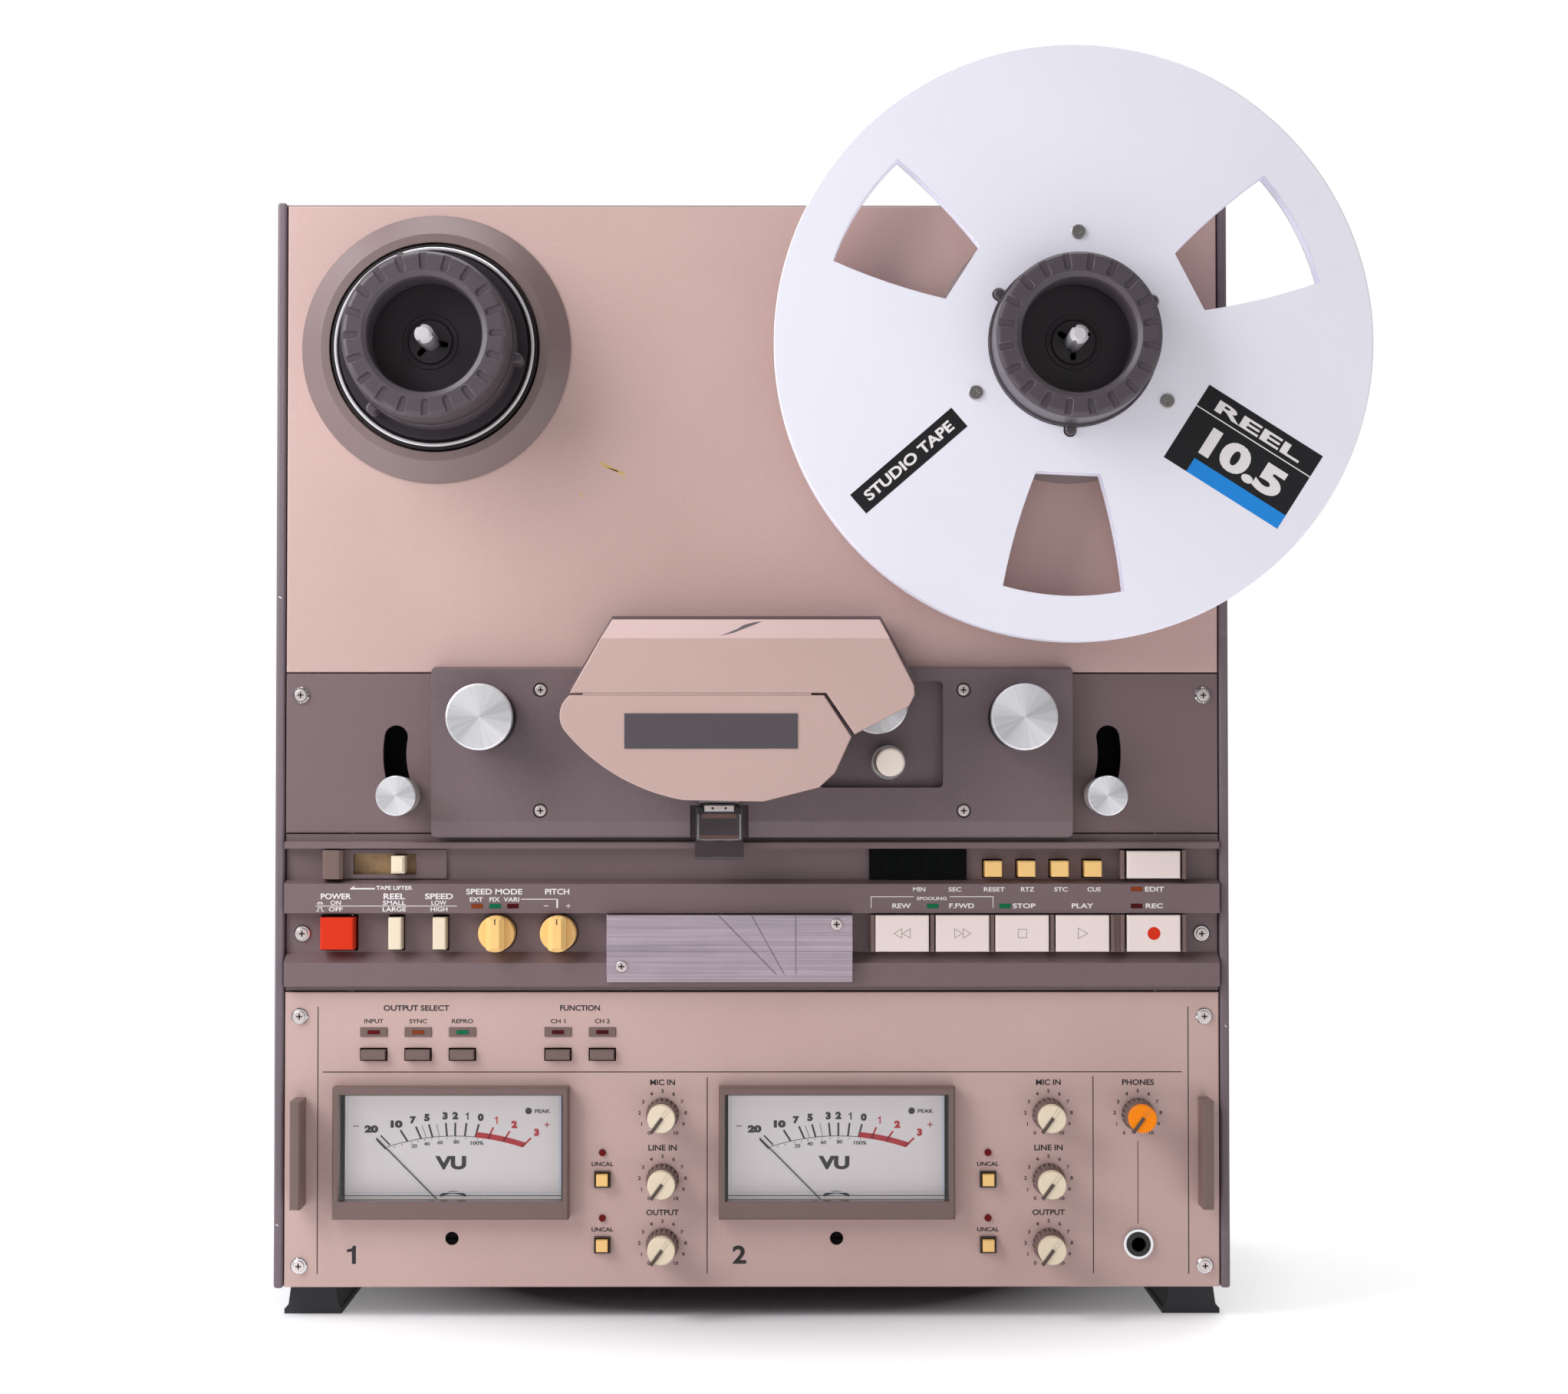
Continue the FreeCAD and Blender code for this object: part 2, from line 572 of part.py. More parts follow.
def deck_panel():
    """The pale upper panel with a conical trim ring round each hub."""
    top = "foot_height + cabinet_height - 0.7"
    plate = bar("deck_plate", "-( " + PANEL_HALF + " )", PANEL_HALF, "deck_bottom", top, "-panel_sheet", "0")
    holes = [rod("deck_hole_%d" % side, "%d * hub_x" % side, "hub_z", "12", "-10", "10")
             for side in (-1, 1)]
    pieces = [cut("deck_plate_cut", soften_front("deck_plate_soft", plate, 0.7), holes)]
    for side in (-1, 1):
        ring = turned("trim_ring_%d" % side, [
            ("trim_bore", "0"), ("trim_radius", "0"), ("trim_radius", "0.9"),
            ("trim_step_radius", "trim_height"), ("trim_bore", "trim_height")])
        place(ring, "%d * hub_x" % side, "hub_z", "0.05")
        pieces.append(ring)
    return node(group("deck_pieces", pieces), "deck_panel")


def arm_slot(side):
    """The curved slot that a tension arm's post sweeps along, as a cutting tool."""
    name = "arm_slot_%d" % side
    x = "%d * arm_pivot_x" % side
    z = "arm_pivot_z"
    start = -dim("arm_rest_angle") if side > 0 else 180 + dim("arm_rest_angle") - dim("arm_swing")
    pieces = []
    for part, radius in (("outer", "arm_length + arm_slot_width / 2"),
                         ("inner", "arm_length - arm_slot_width / 2")):
        sector = doc.addObject("Part::Cylinder", name + part)
        bind(sector, Radius=radius, Height="20", Angle="arm_swing")
        place(sector, x, z, "-12", spin(start))
        pieces.append(sector)
    ends = []
    for index, angle in enumerate((start, start + dim("arm_swing"))):
        end_x, end_z = polar(x, z, dim("arm_length"), angle)
        ends.append(rod(name + "_end_%d" % index, end_x, end_z, "arm_slot_width / 2", "-12", "8"))
    return join(name, [cut(name + "_sweep", pieces[0], [pieces[1]])] + ends)


def transport_panel():
    """The dark panel behind the head block, with the two arm slots."""
    plate = bar("transport_plate", "-( " + PANEL_HALF + " )", PANEL_HALF, "transport_bottom",
                "deck_bottom - 0.5", "-panel_sheet", "0")
    tools = [arm_slot(side) for side in (-1, 1)]
    tools.append(bar("transport_window", "-90", "90", "232", "284", "-10", "10"))
    tools.append(rod("pinch_pivot_hole", "pinch_pivot_x", "pinch_pivot_z", "4", "-10", "10"))
    for side in (-1, 1):
        tools.append(rod("roller_hole_%d" % side, "%d * roller_x" % side, "roller_z", "6", "-10", "10"))
        tools.append(rod("transport_screw_hole_%d" % side, "%d * panel_screw_x" % side,
                         "transport_screw_z", "panel_screw_hole", "-10", "10"))
    soft = soften_front("transport_soft", plate, 0.5)
    return node(cut("transport_cut", soft, tools), "transport_panel")


def head_plate():
    """The cast base plate: bevelled foot, sunk pocket, shield notch and shaft bores."""
    low = "plate_bottom"
    plate = extruded("head_casting", [
        ("0", low), ("0", "plate_top"), ("1.2 - plate_proud", "plate_top"),
        ("-plate_proud", "plate_top - 1.2"), ("-plate_proud", "plate_bottom + plate_bevel_rise"),
        ("1.6 - plate_proud", "plate_bottom + 0.8"), ("2.4 - plate_proud", low)],
        "2 * plate_half_width")
    corners = dim("origin_x")
    soft = eased("head_casting_soft", plate, 2.2, lambda edge: (
        abs(abs(edge.BoundBox.XMin - corners) - dim("plate_half_width")) < 0.01
        and edge.BoundBox.XLength < 0.01 and edge.BoundBox.YLength > 2
        and edge.BoundBox.ZLength < FLAT))
    pocket = bar("head_pocket", "pocket_left", "pocket_right", "pocket_low", "pocket_high",
                 "pocket_floor", "20")
    pocket_soft = eased("head_pocket_soft", pocket, 2.0, lambda edge: edge.BoundBox.YLength > 5)
    tools = [pocket_soft,
             block("shield_notch", "shield_x", "222", "26", "17", "1.5", "20"),
             rod("capstan_bore", "capstan_x", "capstan_z", "capstan_radius + 0.6", "-5", "20"),
             rod("pinch_bore", "pinch_pivot_x", "pinch_pivot_z", "3 + shaft_clearance", "-5", "20")]
    for side in (-1, 1):
        tools.append(rod("roller_bore_%d" % side, "%d * roller_x" % side, "roller_z",
                         "3 + shaft_clearance", "-5", "20"))
        for level in ("plate_screw_low", "plate_screw_high"):
            x = "%d * plate_screw_x" % side
            tools.append(rod("plate_screw_seat_%d_%s" % (side, level), x, level,
                             "plate_screw_radius + 0.7", "6.4", "20"))
            tools.append(rod("plate_screw_hole_%d_%s" % (side, level), x, level, "screw_hole", "-5", "20"))
    return cut("head_plate", soft, tools)


HEADS = (("-46", "13"), ("-15", "15"), ("13", "15"))   # middle and width of each can
POSTS = (("-57", "251"), ("-31", "246"), ("-1", "246"), ("27", "246"))


def head_block():
    """Base plate, three tape heads in their cans, guide posts and the shield's hinge plate."""
    pieces = [head_plate()]
    for index, (x, width) in enumerate(HEADS):
        name = "tape_head_%d" % index
        can = block(name + "_can", x, "head_z + 5", width, "2 * head_nose_radius", "plate_proud",
                    "head_front")
        nose = cut(name + "_nose", rod(name + "_round", x, "head_z", "head_nose_radius", "plate_proud",
                                       "head_front"),
                   [block(name + "_trim", x, "head_z + 14", "30", "24", "5", "35")])
        sides = block(name + "_sides", x, "250", width, "40", "5", "35")
        tip = doc.addObject("Part::Common", name + "_tip")
        tip.Base = nose
        tip.Tool = sides
        pieces.append(join(name, [can, tip]))
    for index, (x, z) in enumerate(POSTS):
        pieces.append(rod("guide_post_%d" % index, x, z, "post_radius", "plate_proud", "post_front"))
        pieces.append(rod("guide_collar_%d" % index, x, z, "collar_radius", "post_front",
                          "post_front + 2"))
    pieces.append(block("hinge_leaf", "shield_x", "233.4", "18", "3.2", "plate_proud", "11.4"))
    pieces.append(tube("capstan_bush", "capstan_x", "capstan_z", "7.6", "capstan_radius + shaft_clearance",
                       "pocket_floor", "9"))
    return node(group("head_pieces", pieces), "head_block")


UPPER_COVER = [
    ("-61.4", "312.5"), ("-79.7", "seam_z + seam_gap"), ("32.6", "seam_z + seam_gap"),
    ("45.0", "262.0"), ("68.8", "274.4"), ("71.3", "279.3"), ("71.0", "283.3"), ("56.1", "312.5")]

DOOR_COVER = [
    ("-79.7", "seam_z - seam_gap"), ("-82.0", "263.6", ("-84.0", "271.6")),
    ("-30.0", "233.2", ("-60.8", "245.0")), ("5.0", "232.6"), ("29.5", "238.8"), ("36.4", "245.2"),
    ("43.6", "260.9"), ("31.6", "seam_z - seam_gap")]


def hollowed(name, points, depth, bevel):
    """A moulded cover: padded, eased round its face and hollowed from behind."""
    body = padded(name, points, depth)
    sketch = doc.getObject(name + "_sketch")
    face = top_edge(amount(depth))
    if bevel:
        high = max(amount(point[1]) for point in points)
        base = body.Tip
        brow = edge_names(base, lambda edge: face(edge) and edge.BoundBox.YMin > high - 0.01)
        feature = body.newObject("PartDesign::Chamfer", name + "_brow")
        feature.Base = (base, brow)
        feature.ChamferType = 1
        feature.Size = dim("cover_bevel_depth")
        feature.Size2 = dim("cover_bevel_rise")
        body.Tip = feature
        doc.recompute()
    dress(body, name + "_soft", 0.6, face)
    inset = doc.addObject("Part::Offset2D", name + "_inset")
    inset.Source = sketch
    inset.Value = -dim("cover_wall")
    inset.Join = 2
    hollow = doc.addObject("Part::Extrusion", name + "_hollow")
    hollow.Base = inset
    hollow.Dir = (0, 0, 1)
    hollow.Solid = True
    bind(hollow, LengthFwd="( %s ) - cover_wall" % depth)
    return body, hollow


def head_cover():
    """The fixed upper head cover, open round the pinch roller, on a dark seating plate."""
    cover, hollow = hollowed("upper_cover", UPPER_COVER, "cover_front - cover_back", True)
    place(cover, "0", "0", "cover_back")
    place(hollow, "0", "0", "cover_back")
    ceiling = bar("cover_ceiling", "-80", "80", "seam_z + 22", "seam_z + 40", "cover_front - 9",
                  "cover_front")
    hollow = cut("upper_cover_room", hollow, [ceiling])
    mouth = bar("pinch_mouth", "34", "80", "255", "291", "0", "cover_front - cover_wall - 0.4")
    seam = bar("seam_mouth", "-76", "36", "274", "286", "0", "cover_front - cover_wall - 0.4")
    seat = padded("cover_seat", [
        ("-62.6", "315.2"), ("-82.4", "282"), ("-77", "282"), ("-59.5", "311"), ("54.2", "311"),
        ("70", "286"), ("73.6", "286"), ("57.6", "315.2")], "cover_back - plate_proud - 0.1")
    place(seat, "0", "0", "plate_proud + 0.05")
    ledge = bar("cover_ledge", "-59.5", "54", "311", "315.2", "0.1", "plate_proud + 0.05")
    shell = cut("upper_cover_open", cover, [mouth, seam, hollow])
    return node(group("head_cover_pieces", [shell, seat, ledge]), "head_cover")


def head_cover_door():
    """The lower half of the head cover with its blank nameplate; it swings up on the seam."""
    door, hollow = hollowed("door_shell", DOOR_COVER, "door_depth", False)
    place(door, "0", "0", "cover_front - door_depth")
    place(hollow, "0", "0", "cover_front - door_depth")
    door = cut("door_shell_open", door, [hollow])
    plate = bar("nameplate", "nameplate_left", "nameplate_right", "nameplate_low", "nameplate_high",
                "cover_front", "cover_front + 0.5")
    soft = soften_front("nameplate_soft", plate, 0.25)
    pin = cross_rod("door_hinge_pin", "-24", "seam_z", "door_hinge_proud", "seam_gap - 0.02", "100")
    return node(group("door_pieces", [door, soft, pin]), "head_cover_door")


def head_shield():
    """The folding shield: chrome plate with side cheeks, hinge barrel and dark lip."""
    front = "shield_front"
    plate = bar("shield_plate", "shield_x - shield_width / 2", "shield_x + shield_width / 2",
                "shield_bottom + 8", "shield_hinge_z", "shield_front - 1.2", front)
    barrel = cross_rod("shield_barrel", "shield_x", "shield_hinge_z", "shield_front - 1.6", "1.5",
                       "shield_width - 4")
    cheeks = []
    for side in (-1, 1):
        x = "shield_x + %d * ( shield_width / 2 - 0.5 )" % side
        cheeks.append(block("shield_cheek_%d" % side, x, "shield_bottom + 15", "1", "14",
                            "shield_front - 3.4", front))
    steel = join("shield_sheet", [plate, barrel] + cheeks)
    lip = extruded("shield_lip", [
        ("1.4 - shield_front", "shield_bottom + 8.3"), ("-shield_front - 0.6", "shield_bottom + 8.3"),
        ("-shield_front - 2.2", "shield_bottom + 1.2"), ("-shield_front - 1.2", "shield_bottom"),
        ("1.4 - shield_front", "shield_bottom")], "shield_lip_width", "shield_x")
    return node(group("shield_pieces", [steel, lip]), "head_shield")


# ---------------------------------------------------------------- control panel

KEY_PITCH = ("67.4", "94.5", "121.3", "148.4", "180.4")
KEY_NAMES = ("rewind_key", "fast_forward_key", "stop_key", "play_key", "record_key")
COUNTER_X = ("108.5", "123.5", "138.5", "153.4")
COUNTER_NAMES = ("counter_reset_button", "return_zero_button", "search_button", "cue_button")


def control_opening(name, x, z, width, height):
    """A rectangular opening through the channel floor."""
    return block(name + "_opening", x, z, width, height, "-12", "3.9")


BLOCK_SCREWS = (("-58.4", "158.4"), ("37.9", "177.2"))


def splicing_block():
    """The aluminium splicing block on its backing, with the tape groove and three cutting slots."""
    block_bar = bar("block_bar", "block_left", "block_right", "block_low", "block_high - 0.2",
                    "strip_proud + 1.5", "block_front")
    soft = soften_front("block_soft", block_bar, 0.4)
    tools = [bar("tape_groove", "block_left - 1", "block_right + 1", "tape_groove_low",
                 "tape_groove_high", "block_front - tape_groove_depth", "block_front + 2")]
    middle = "( block_low + block_high ) / 2"
    for index, (x, lean) in enumerate((("-2", 44.5), ("7.2", 29.0), ("19.6", 0.0))):
        slit = doc.addObject("Part::Box", "cutting_slot_%d" % index)
        bind(slit, Length="0.5", Width="44", Height="4")
        place(slit, x, middle, "block_front - 1.4", spin(lean))
        offset = slit.Placement.Rotation.multVec(FreeCAD.Vector(-0.25, -22, 0))
        slit.setExpression("Placement.Base.x", formula("origin_x + %s + %.3f" % (x, offset.x)))
        slit.setExpression("Placement.Base.z", formula("%s + %.3f" % (middle, offset.z)))
        tools.append(slit)
    for index, (x, z) in enumerate(BLOCK_SCREWS):
        tools.append(rod("block_screw_hole_%d" % index, x, z, "screw_hole", "-5", "20"))
        tools.append(rod("block_screw_seat_%d" % index, x, z, "2.9", "block_front - 0.22", "20"))
    backing = bar("block_backing", "block_left", "block_right", "block_low - 3.4", "block_high - 0.2",
                  "strip_proud + 0.05", "strip_proud + 1.5")
    packing = bar("block_packing", "block_left", "block_right", "lower_channel_low + 0.3",
                  "block_high - 0.2", "channel_floor", "strip_proud + 0.05")
    return [cut("splicing_bar", soft, tools), backing, packing]


def lifter_bezel():
    """The plate and thumb block round the tape lifter slider."""
    middle = "counter_middle"
    plate = bar("lifter_plate", "lifter_left", "lifter_right", "upper_channel_low + 0.3", "lip_low - 0.3",
                "channel_floor", "channel_floor + 1.4")
    slot = bar("lifter_slot", "lifter_slot_left", "lifter_slot_right", "lifter_slot_low",
               "lifter_slot_high", "-12", "5")
    rest = block("lifter_rest", "lifter_left + 5.2", middle, "9.2", "13", "channel_floor + 1.4", "4.6")
    rest_soft = eased("lifter_rest_soft", rest, 1.6,
                      lambda edge: edge.BoundBox.ZLength > 5 and edge.BoundBox.YMax < dim("origin_y") - 4,
                      bevel=True)
    return [cut("lifter_plate_cut", plate, [slot]), rest_soft]


def control_panel():
    """The grooved control strip with its openings, dividers, window, lifter bezel and splicing block."""
    strip = "-strip_proud"
    floor = "-channel_floor"
    back = "6"
    profile = extruded("control_strip", [
        (back, "control_bottom"), ("1", "control_bottom"), ("1", "groove_high - 0.6"),
        (strip, "groove_high"), (strip, "slope_low"), (floor, "lower_channel_low"),
        (floor, "strip_low + 0.6"), (strip, "strip_low + 0.6"), (strip, "strip_high"),
        (floor, "upper_channel_low"), (floor, "lip_low"), (strip, "lip_low + 0.3"),
        (strip, "control_top - 0.5"), ("0.5 - strip_proud", "control_top"), ("tongue_face", "control_top"),
        ("tongue_face", "transport_bottom - panel_gap"), ("tongue_back", "transport_bottom - panel_gap"),
        ("tongue_back", "control_top"), (back, "control_top")],
        "cabinet_width - 2 * side_thickness - 2 * panel_gap")
    tools = []
    for name, x in zip(KEY_NAMES, KEY_PITCH):
        tools.append(control_opening(name, x, "key_middle", "key_width + 1.2", "key_height + 0.8"))
    tools.append(control_opening("edit", KEY_PITCH[4], "counter_middle", "key_width + 1.2",
                                 "edit_height + 0.6"))
    for name, x in zip(COUNTER_NAMES, COUNTER_X):
        tools.append(control_opening(name, x, "counter_button_z", "counter_button_width + 1.4",
                                     "counter_button_height + 1.4"))
    tools.append(control_opening("power", "-186.2", "key_middle", "16.6", "16.2"))
    tools.append(control_opening("reel_size", "-160.3", "key_middle", "7.2", "16"))
    tools.append(control_opening("speed", "-140.4", "key_middle", "7.2", "16"))
    tools.append(bar("lifter_way", "lifter_slot_left", "lifter_slot_right", "lifter_slot_low",
                     "lifter_slot_high", "-12", "3"))
    for name in ("mode_knob", "pitch_knob"):
        tools.append(rod(name + "_well", name + "_x", "key_middle", "mode_knob_radius + 0.7", "-4.9", "3.9"))
        tools.append(rod(name + "_hole", name + "_x", "key_middle", "3 + shaft_clearance", "-12", "3.9"))
    for side in (-1, 1):
        tools.append(rod("control_screw_hole_%d" % side, "%d * control_screw_x" % side,
                         "control_screw_z", "2.2", "-12", "10"))
    pieces = [cut("control_strip_cut", profile, tools)]
    for index, x in enumerate(("54.2", "80.95", "107.9", "134.85", "162.0", "166.5", "194.2")):
        divider = block("divider_%d" % index, x, "key_middle", "divider_width", "key_height",
                        "channel_floor", "divider_front")
        pieces.append(soften_front("divider_soft_%d" % index, divider, 0.4))
    pieces.append(block("divider_filler", "164.2", "key_middle", "2.6", "key_height", "channel_floor",
                        "divider_front - 1.6"))
    for index, x in enumerate(("166.5", "194.2")):
        divider = block("edit_divider_%d" % index, x, "counter_middle", "divider_width", "edit_height",
                        "channel_floor", "divider_front")
        pieces.append(soften_front("edit_divider_soft_%d" % index, divider, 0.4))
    pieces.append(bar("counter_window", "display_left", "display_right", "display_low", "display_high",
                      "channel_floor", "-0.8"))
    return node(group("control_pieces", pieces + lifter_bezel() + splicing_block()), "control_panel")


# ---------------------------------------------------------------- amplifier panel

SELECT_X = ("output_button_x", "output_button_x + output_button_pitch",
            "output_button_x + 2 * output_button_pitch", "function_button_x",
            "function_button_x + output_button_pitch")
SELECT_NAMES = ("output_input_button", "output_sync_button", "output_repro_button",
                "function_button_1", "function_button_2")
UNCAL_NAMES = ("mic_uncal_button_1", "output_uncal_button_1", "mic_uncal_button_2",
               "output_uncal_button_2")
UNCAL_PLACES = (("uncal_one_x", "uncal_high_z"), ("uncal_one_x", "uncal_low_z"),
                ("uncal_two_x", "uncal_high_z"), ("uncal_two_x", "uncal_low_z"))
LEVEL_NAMES = ("mic_level_knob_1", "line_level_knob_1", "output_level_knob_1",
               "mic_level_knob_2", "line_level_knob_2", "output_level_knob_2", "phones_level_knob")
LEVEL_PLACES = (("level_one_x", "level_high_z"), ("level_one_x", "level_middle_z"),
                ("level_one_x", "level_low_z"), ("level_two_x", "level_high_z"),
                ("level_two_x", "level_middle_z"), ("level_two_x", "level_low_z"),
                ("phones_x", "phones_z"))


def panel_handle(side):
    """A straight pull handle with a finger recess in its outer side."""
    x = "%d * handle_x" % side
    middle = "( handle_low + handle_high ) / 2"
    tall = "handle_high - handle_low"
    grip = block("handle_grip_%d" % side, x, middle, "handle_width", tall, "0", "handle_front")
    recess = block("handle_recess_%d" % side, "%d * ( handle_x + handle_width / 2 )" % side, middle,
                   "2 * handle_recess", tall + " - 12", "2", "handle_front - 3.5")
    return soften_front("handle_bevel_%d" % side, cut("handle_%d" % side, grip, [recess]), 0.6, bevel=True)


def amplifier_panel():
    """The pale lower panel with its handles, light windows, lamps and headphone jack."""
    plate = bar("amplifier_plate", "-( " + PANEL_HALF + " )", PANEL_HALF, "amplifier_bottom",
                "amplifier_top", "-amplifier_sheet", "0")
    soft = soften_front("amplifier_soft", plate, 0.6)
    tools = []
    pieces = []
    for name, x in zip(SELECT_NAMES, SELECT_X):
        tools.append(block(name + "_opening", x, "select_button_z", "select_button_width + 1.4",
                           "select_button_height + 1.4", "-8", "4"))
        tools.append(block(name + "_light_opening", x, "light_z", "light_width", "light_height", "-8", "4"))
        pieces.append(block(name + "_light", x, "light_z", "light_width - 0.1", "light_height - 0.1",
                            "-amplifier_sheet - 3", "0.5"))
        pieces.append(block(name + "_chip", x, "light_z", "5.4", "1.7", "0.5", "0.8"))
    for name, (x, z) in zip(UNCAL_NAMES, UNCAL_PLACES):
        tools.append(block(name + "_opening", x, z, "uncal_size - 0.6", "uncal_size - 0.6", "-8", "4"))
        rim = block(name + "_rim", x, z, "uncal_size", "uncal_size", "0", "1.6")
        hole = block(name + "_mouth", x, z, "uncal_size - 1.2", "uncal_size - 1.2", "-1", "3")
        pieces.append(cut(name + "_housing", rim, [hole]))
        pieces.append(rod(name + "_lamp", x, z + " + uncal_lamp_rise", "1.5", "-4", "1.1"))
        tools.append(rod(name + "_lamp_hole", x, z + " + uncal_lamp_rise", "1.55", "-8", "4"))
    for name, (x, z) in zip(LEVEL_NAMES, LEVEL_PLACES):
        tools.append(rod(name + "_hole", x, z, "3 + shaft_clearance", "-8", "4"))
    for name in ("meter_one", "meter_two"):
        tools.append(block(name + "_opening", name + "_x", "meter_z", "bezel_width - 4",
                           "bezel_height - 4", "-8", "4"))
        tools.append(rod(name + "_zero_hole", name + "_x", "zero_screw_z", "3", "-8", "4"))
    for side in (-1, 1):
        for z in ("amplifier_screw_high", "amplifier_screw_low"):
            tools.append(rod("%s_hole_%d" % (z, side), "%d * panel_screw_x" % side, z,
                             "panel_screw_hole", "-8", "4"))
        pieces.append(panel_handle(side))
    tools.append(rod("jack_hole", "phones_x", "jack_z", "5.5", "-8", "4"))
    pieces.append(tube("jack_body", "phones_x", "jack_z", "5.4", "jack_bore",
                       "2.6 - jack_depth", "2.6"))
    pieces.append(tube("jack_nut", "phones_x", "jack_z", "jack_ring", "5.42", "0", "1.6"))
    pieces.insert(0, cut("amplifier_plate_cut", soft, tools))
    return node(group("amplifier_pieces", pieces), "amplifier_panel")


def vu_meter(name):
    """One meter: bevelled bezel, clear front, dial plate, coil housing and zero-adjust screw."""
    x = name + "_x"
    bezel = block(name + "_bezel", x, "meter_z", "bezel_width", "bezel_height", "0", "bezel_front")
    soft = soften_front(name + "_bezel_soft", bezel, 0.7, bevel=True)
    window = block(name + "_window", x, "glass_z", "glass_width", "glass_height", "-9", "20")
    frame = cut(name + "_frame", soft, [window])
    wide = "bezel_width / 2 - 2.5"
    left = "%s - ( %s )" % (x, wide)
    case = bar(name + "_case", left, "%s + %s" % (x, wide), "case_low", "case_high", "-30",
               "-amplifier_sheet - 0.02")
    hollow = bar(name + "_hollow", left + " + 1.5", "%s + %s - 1.5" % (x, wide), "case_low + 1.5",
                 "case_high - 1.5", "-28.5", "5")
    housing = cut(name + "_housing", case, [hollow])
    glass = block(name + "_glass", x, "glass_z", "glass_width - 0.1", "glass_height - 0.1", "5.2", "6.6")
    dial = bar(name + "_dial", left + " + 1.6", "%s + %s - 1.6" % (x, wide), "case_low + 1.6",
               "case_high - 1.6", "-dial_depth - 1", "-dial_depth")
    magnet = rod(name + "_magnet", x, "needle_pivot_z + 5.5", "9", "-24", "-dial_depth - 1.2")
    coil = cut(name + "_coil", magnet, [rod(name + "_magnet_bore", x, "needle_pivot_z", "1.2", "-30", "0")])
    dial_bore = rod(name + "_dial_bore", x, "needle_pivot_z", "1.2", "-8", "0")
    screw = rod(name + "_zero_screw", x, "zero_screw_z", "2.9", "-6", "-0.8")
    slot = block(name + "_zero_slot", x, "zero_screw_z", "4.6", "0.9", "-2", "3")
    return [frame, housing, glass, cut(name + "_dial_cut", dial, [dial_bore]), coil,
            cut(name + "_zero", screw, [slot])]


def vu_meters():
    return node(group("meter_pieces", vu_meter("meter_one") + vu_meter("meter_two")), "vu_meters")


def meter_needle(number, name):
    """A pivot pin, a fine pointer resting 45 degrees to the left, and its counterweight."""
    x = name + "_x"
    pivot_z = "needle_pivot_z"
    pin = rod("needle_pin_%d" % number, x, pivot_z, "0.8", "-20", "needle_back + needle_sheet")
    parts = [pin]
    for part, start, reach, thick in (("pointer", 0.0, dim("needle_length"), 0.5),
                                      ("weight", -3.6, 3.6, 2.0)):
        arm = doc.addObject("Part::Box", "needle_%s_%d" % (part, number))
        bind(arm, Length=str(reach), Width=str(thick), Height="needle_sheet")
        place(arm, x, pivot_z, "needle_back", spin(135))
        offset = arm.Placement.Rotation.multVec(FreeCAD.Vector(start, -thick / 2, 0))
        arm.setExpression("Placement.Base.x", formula("origin_x + %s + %.4f" % (x, offset.x)))
        arm.setExpression("Placement.Base.z", formula("%s + %.4f" % (pivot_z, offset.z)))
        parts.append(arm)
    return node(join("needle_parts_%d" % number, parts), "meter_needle_%d" % number)


# ---------------------------------------------------------------- hubs and reel

def turntable(side, label):
    """Platter with a chrome-edged rim, centre boss, grooved spindle tip and motor shaft."""
    x = "%d * hub_x" % side
    platter = turned(label + "_platter", [
        ("0", "-spindle_end"), ("motor_shaft_radius", "-spindle_end"), ("motor_shaft_radius", "table_back"),
        ("table_radius", "table_back"), ("table_radius", "table_front - 1.2"),
        ("table_radius - 1", "table_front"), ("chrome_radius", "table_front"),
        ("chrome_radius", "table_front - 2.6"), ("0", "table_front - 2.6")])
    place(platter, x, "hub_z")
    rim = turned(label + "_rim", [
        ("chrome_radius - 1.5", "table_front - 2.6"), ("chrome_radius", "table_front - 2.6"),
        ("chrome_radius", "table_front + 0.2"), ("chrome_radius - 0.4", "table_front + 0.6"),
        ("chrome_radius - 1.1", "table_front + 0.6"), ("chrome_radius - 1.5", "table_front + 0.2")])
    place(rim, x, "hub_z")
    spindle = turned(label + "_spindle", [
        ("0", "table_front - 2.6"), ("spindle_radius", "table_front - 2.6"),
        ("spindle_radius", "spindle_front - 2"), ("spindle_radius - 1.6", "spindle_front"),
        ("0", "spindle_front")])
    feature = pocketed(spindle, [
        ("spindle_radius - 0.7", "-0.9"), ("spindle_radius + 1", "-0.9"),
        ("spindle_radius + 1", "0.9"), ("spindle_radius - 0.7", "0.9")], "spindle_front + 1",
        label + "_flute")
    around(spindle, feature, 3)
    place(spindle, x, "hub_z")
    return node(group(label + "_pieces", [platter, rim, spindle]), label)


def lug_outline(start):
    """A locking lug with a round end, lying along the sketch's x axis."""
    half = "lug_width / 2"
    return [(start, "-" + half), ("lug_tip - lug_width / 2", "-" + half),
            ("lug_tip - lug_width / 2", half, ("lug_tip", "0")), (start, half)]


